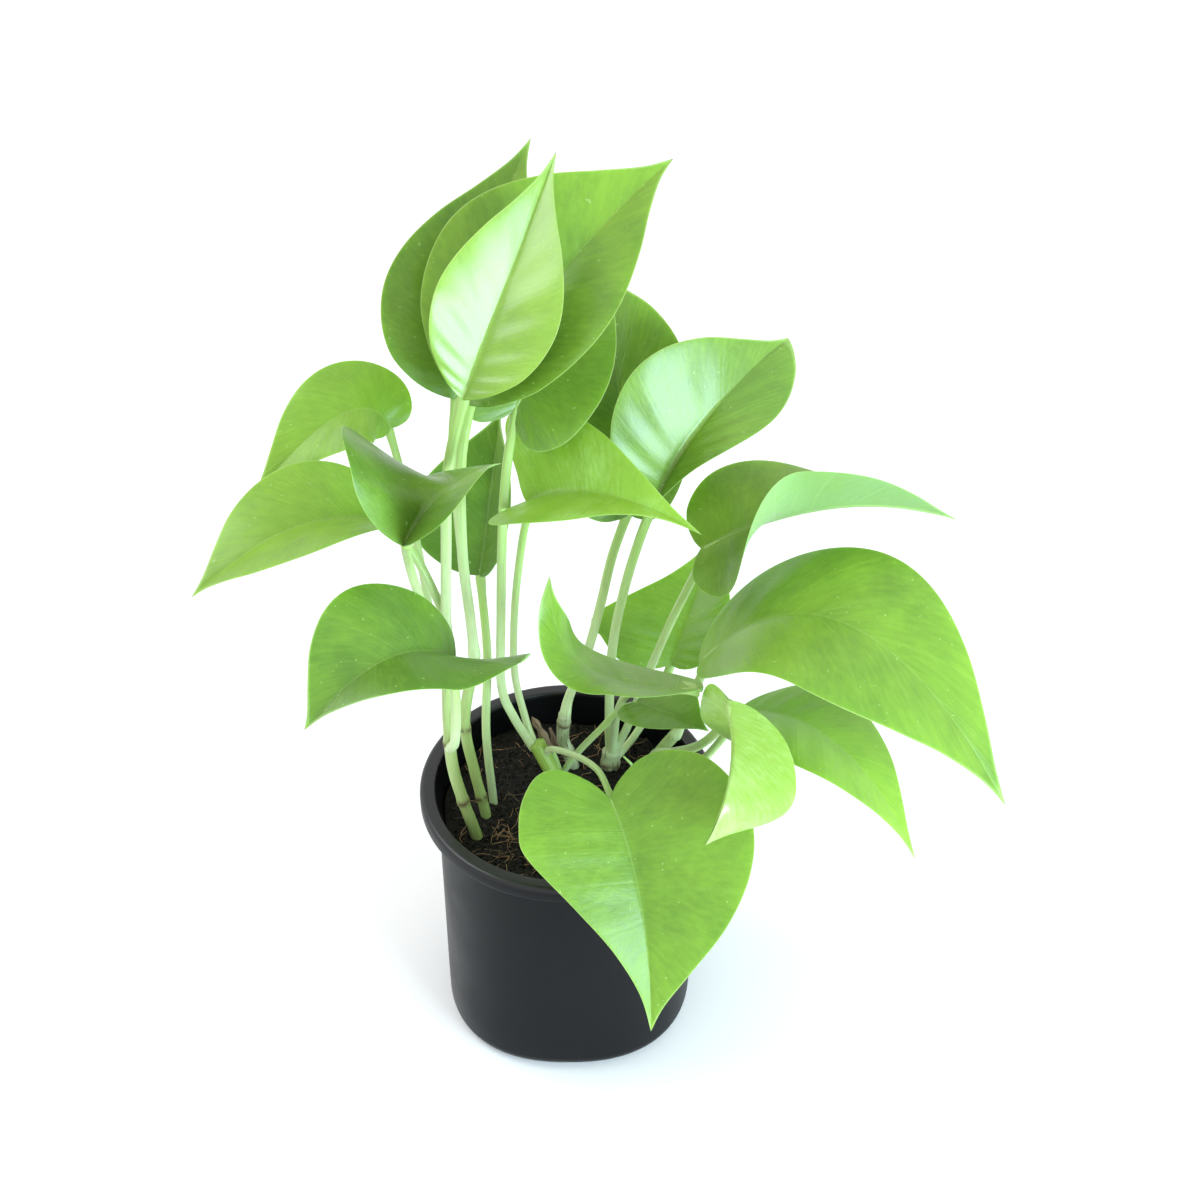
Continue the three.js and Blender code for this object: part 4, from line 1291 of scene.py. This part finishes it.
def blade_piece(name, leaf, gloss, settings, material):
    """A closed blade: an upper and a lower sheet that meet in a thin margin, with a groove and a rib."""
    blade = Blade(leaf)
    rows = np.linspace(0, 1, settings.rows + 1)
    turns = np.linspace(0, math.pi, settings.columns + 1)
    across = np.cos(turns)
    row, column = np.meshgrid(rows, across, indexing="ij")
    sheet, from_midrib, from_margin = blade.surface(row, column, settings)
    normal = normalised(np.cross(np.gradient(sheet, axis=1), np.gradient(sheet, axis=0)))
    _, _, out = blade.axes(row)
    sense = np.sign(np.sum(normal * out, axis=-1, keepdims=True))
    normal = normal * np.where(sense == 0, 1, sense)
    ends = np.minimum(1, 14 * np.minimum(row, 1 - row))
    body = settings.thickness / MM / 2 * np.sqrt(1 - np.abs(column) ** 6) * ends
    groove = settings.groove / MM * bump(from_midrib, 0, GROOVE_WIDTH) * ends * (1 - 0.6 * row)
    rib = settings.rib / MM * bump(from_midrib, 0, RIB_WIDTH) * ends * (1 - 0.8 * row)
    upper = sheet + normal * (body - groove)[..., None]
    lower = sheet - normal * (body + rib)[..., None]
    count = settings.columns + 1
    vertices = np.vstack([upper.reshape(-1, 3), lower.reshape(-1, 3)])
    offset = len(vertices) // 2
    faces = []
    for start in range(0, settings.rows * count, count):
        for corner in range(start, start + settings.columns):
            quad = (corner, corner + 1, corner + count + 1, corner + count)
            faces.append(quad)
            faces.append(tuple(offset + quad[place] for place in (0, 3, 2, 1)))
    piece = new_piece(name, vertices, faces, [material])
    for label, values in (("row", row), ("from_midrib", from_midrib), ("from_margin", from_margin)):
        add_values(piece, label, np.tile(values.ravel(), 2))
    add_values(piece, "underside", np.repeat([0, 1], offset))
    add_values(piece, "tint", np.full(2 * offset, blade.tint))
    add_values(piece, "gloss", np.full(2 * offset, gloss))
    merge_and_turn_out(piece)
    return piece


class POTHOS_OT_leaf_blades(Operator):
    """Unfolds the leaf blades"""

    bl_idname = "pothos.leaf_blades"
    bl_label = "Leaf blades"

    def execute(self, context):
        settings = context.scene.pothos_leaf
        material = leaf_material(settings)
        for name, leaf in LEAVES.items():
            piece = blade_piece(f"blade_{name}_leaf", leaf, GLOSS.get(name, USUAL_GLOSS), settings, material)
            belongs(piece, "leaf_blade", f"blade_{name}")
        return {"FINISHED"}


# ------------------------------------------------------------------ stage

CAMERA_PITCH = 39.5
CAMERA_DISTANCE = 786
CAMERA_AIM = (14, 0, 224.7)
CAMERA_LENS = 60
CAMERA_SENSOR = 36
LAMP_AIM = (0, 0, 0.22)  # this and what follows of the lamps in metres
LAMP_SIZE = 0.6
KEY_PLACE = (0.77, -0.72, 0.4)
KEY_TONE = (0.62, 0.86, 1)
FILL_PLACE = (-0.75, 0.1, 1.0)
FILL_TONE = (0.9, 0.96, 1)


def add_lamp(name, place, watts, tone):
    data = bpy.data.lights.new(name, "AREA")
    data.size = LAMP_SIZE
    data.energy = watts
    data.color = tone
    lamp = bpy.data.objects.new(name, data)
    lamp.location = place
    aim = Vector(LAMP_AIM) - Vector(place)
    lamp.rotation_euler = aim.to_track_quat("-Z", "Y").to_euler()
    bpy.context.scene.collection.objects.link(lamp)


def add_camera():
    pitch = math.radians(CAMERA_PITCH)
    data = bpy.data.cameras.new("camera")
    data.lens = CAMERA_LENS
    data.sensor_width = CAMERA_SENSOR
    camera = bpy.data.objects.new("camera", data)
    back = Vector((0, -math.cos(pitch), math.sin(pitch))) * CAMERA_DISTANCE
    camera.location = (Vector(CAMERA_AIM) + back) * MM
    camera.rotation_euler = (math.pi / 2 - pitch, 0, 0)
    bpy.context.scene.collection.objects.link(camera)
    bpy.context.scene.camera = camera


class POTHOS_OT_stage(Operator):
    """Sets the pale floor, the studio light and the camera"""

    bl_idname = "pothos.stage"
    bl_label = "Stage"

    def execute(self, context):
        settings = context.scene.pothos_stage
        half = settings.floor_size / MM / 2
        corners = [(-half, -half, 0), (half, -half, 0), (half, half, 0), (-half, half, 0)]
        material, tree, shader = new_material("studio_floor")
        set_inputs(tree, shader, {
            "Base Color": (*settings.floor, 1), "Roughness": 0.9, "Specular IOR Level": 0.1,
        })
        floor = new_piece("studio_floor", corners, [(0, 1, 2, 3)], [material])
        world = bpy.data.worlds.new("studio")
        world.use_nodes = True
        sky = world.node_tree.nodes["Background"]
        sky.inputs["Color"].default_value = (1, 1, 1, 1)
        sky.inputs["Strength"].default_value = settings.sky
        context.scene.world = world
        context.scene.view_settings.view_transform = "Standard"
        add_lamp("key", KEY_PLACE, settings.key, KEY_TONE)
        add_lamp("fill", FILL_PLACE, settings.fill, FILL_TONE)
        add_camera()
        return {"FINISHED"}


# ------------------------------------------------------------------ add-on

OPERATORS = (
    POTHOS_OT_pot, POTHOS_OT_soil, POTHOS_OT_soil_crumbs, POTHOS_OT_coir_fibres, POTHOS_OT_canes,
    POTHOS_OT_leaf_stalks, POTHOS_OT_shoots, POTHOS_OT_dry_sheath, POTHOS_OT_leaf_blades, POTHOS_OT_stage,
)
SETTINGS = {
    "pothos_pot": PotSettings,
    "pothos_soil": SoilSettings,
    "pothos_leaf": LeafSettings,
    "pothos_stalk": StalkSettings,
    "pothos_cane": CaneSettings,
    "pothos_stage": StageSettings,
}


class POTHOS_PT_panel(Panel):
    """Lists the plant's pieces and their settings"""

    bl_idname = "POTHOS_PT_panel"
    bl_label = "Potted pothos"
    bl_space_type = "VIEW_3D"
    bl_region_type = "UI"
    bl_category = "Pothos"

    def draw(self, context):
        for operator in OPERATORS:
            self.layout.operator(operator.bl_idname)
        for name, kind in SETTINGS.items():
            box = self.layout.box()
            box.label(text=name.removeprefix("pothos_").title())
            for key in kind.__annotations__:
                box.prop(getattr(context.scene, name), key)


def register():
    for kind in (*SETTINGS.values(), *OPERATORS, POTHOS_PT_panel):
        bpy.utils.register_class(kind)
    for name, kind in SETTINGS.items():
        setattr(bpy.types.Scene, name, PointerProperty(type=kind))


def unregister():
    for name in SETTINGS:
        delattr(bpy.types.Scene, name)
    for kind in reversed((*SETTINGS.values(), *OPERATORS, POTHOS_PT_panel)):
        bpy.utils.unregister_class(kind)


def main():
    register()
    bpy.ops.pothos.stage()
    bpy.ops.pothos.pot()
    bpy.ops.pothos.soil()
    bpy.ops.pothos.soil_crumbs()
    bpy.ops.pothos.coir_fibres()
    bpy.ops.pothos.canes()
    bpy.ops.pothos.leaf_stalks()
    bpy.ops.pothos.shoots()
    bpy.ops.pothos.dry_sheath()
    bpy.ops.pothos.leaf_blades()


if __name__ == "__main__":
    main()
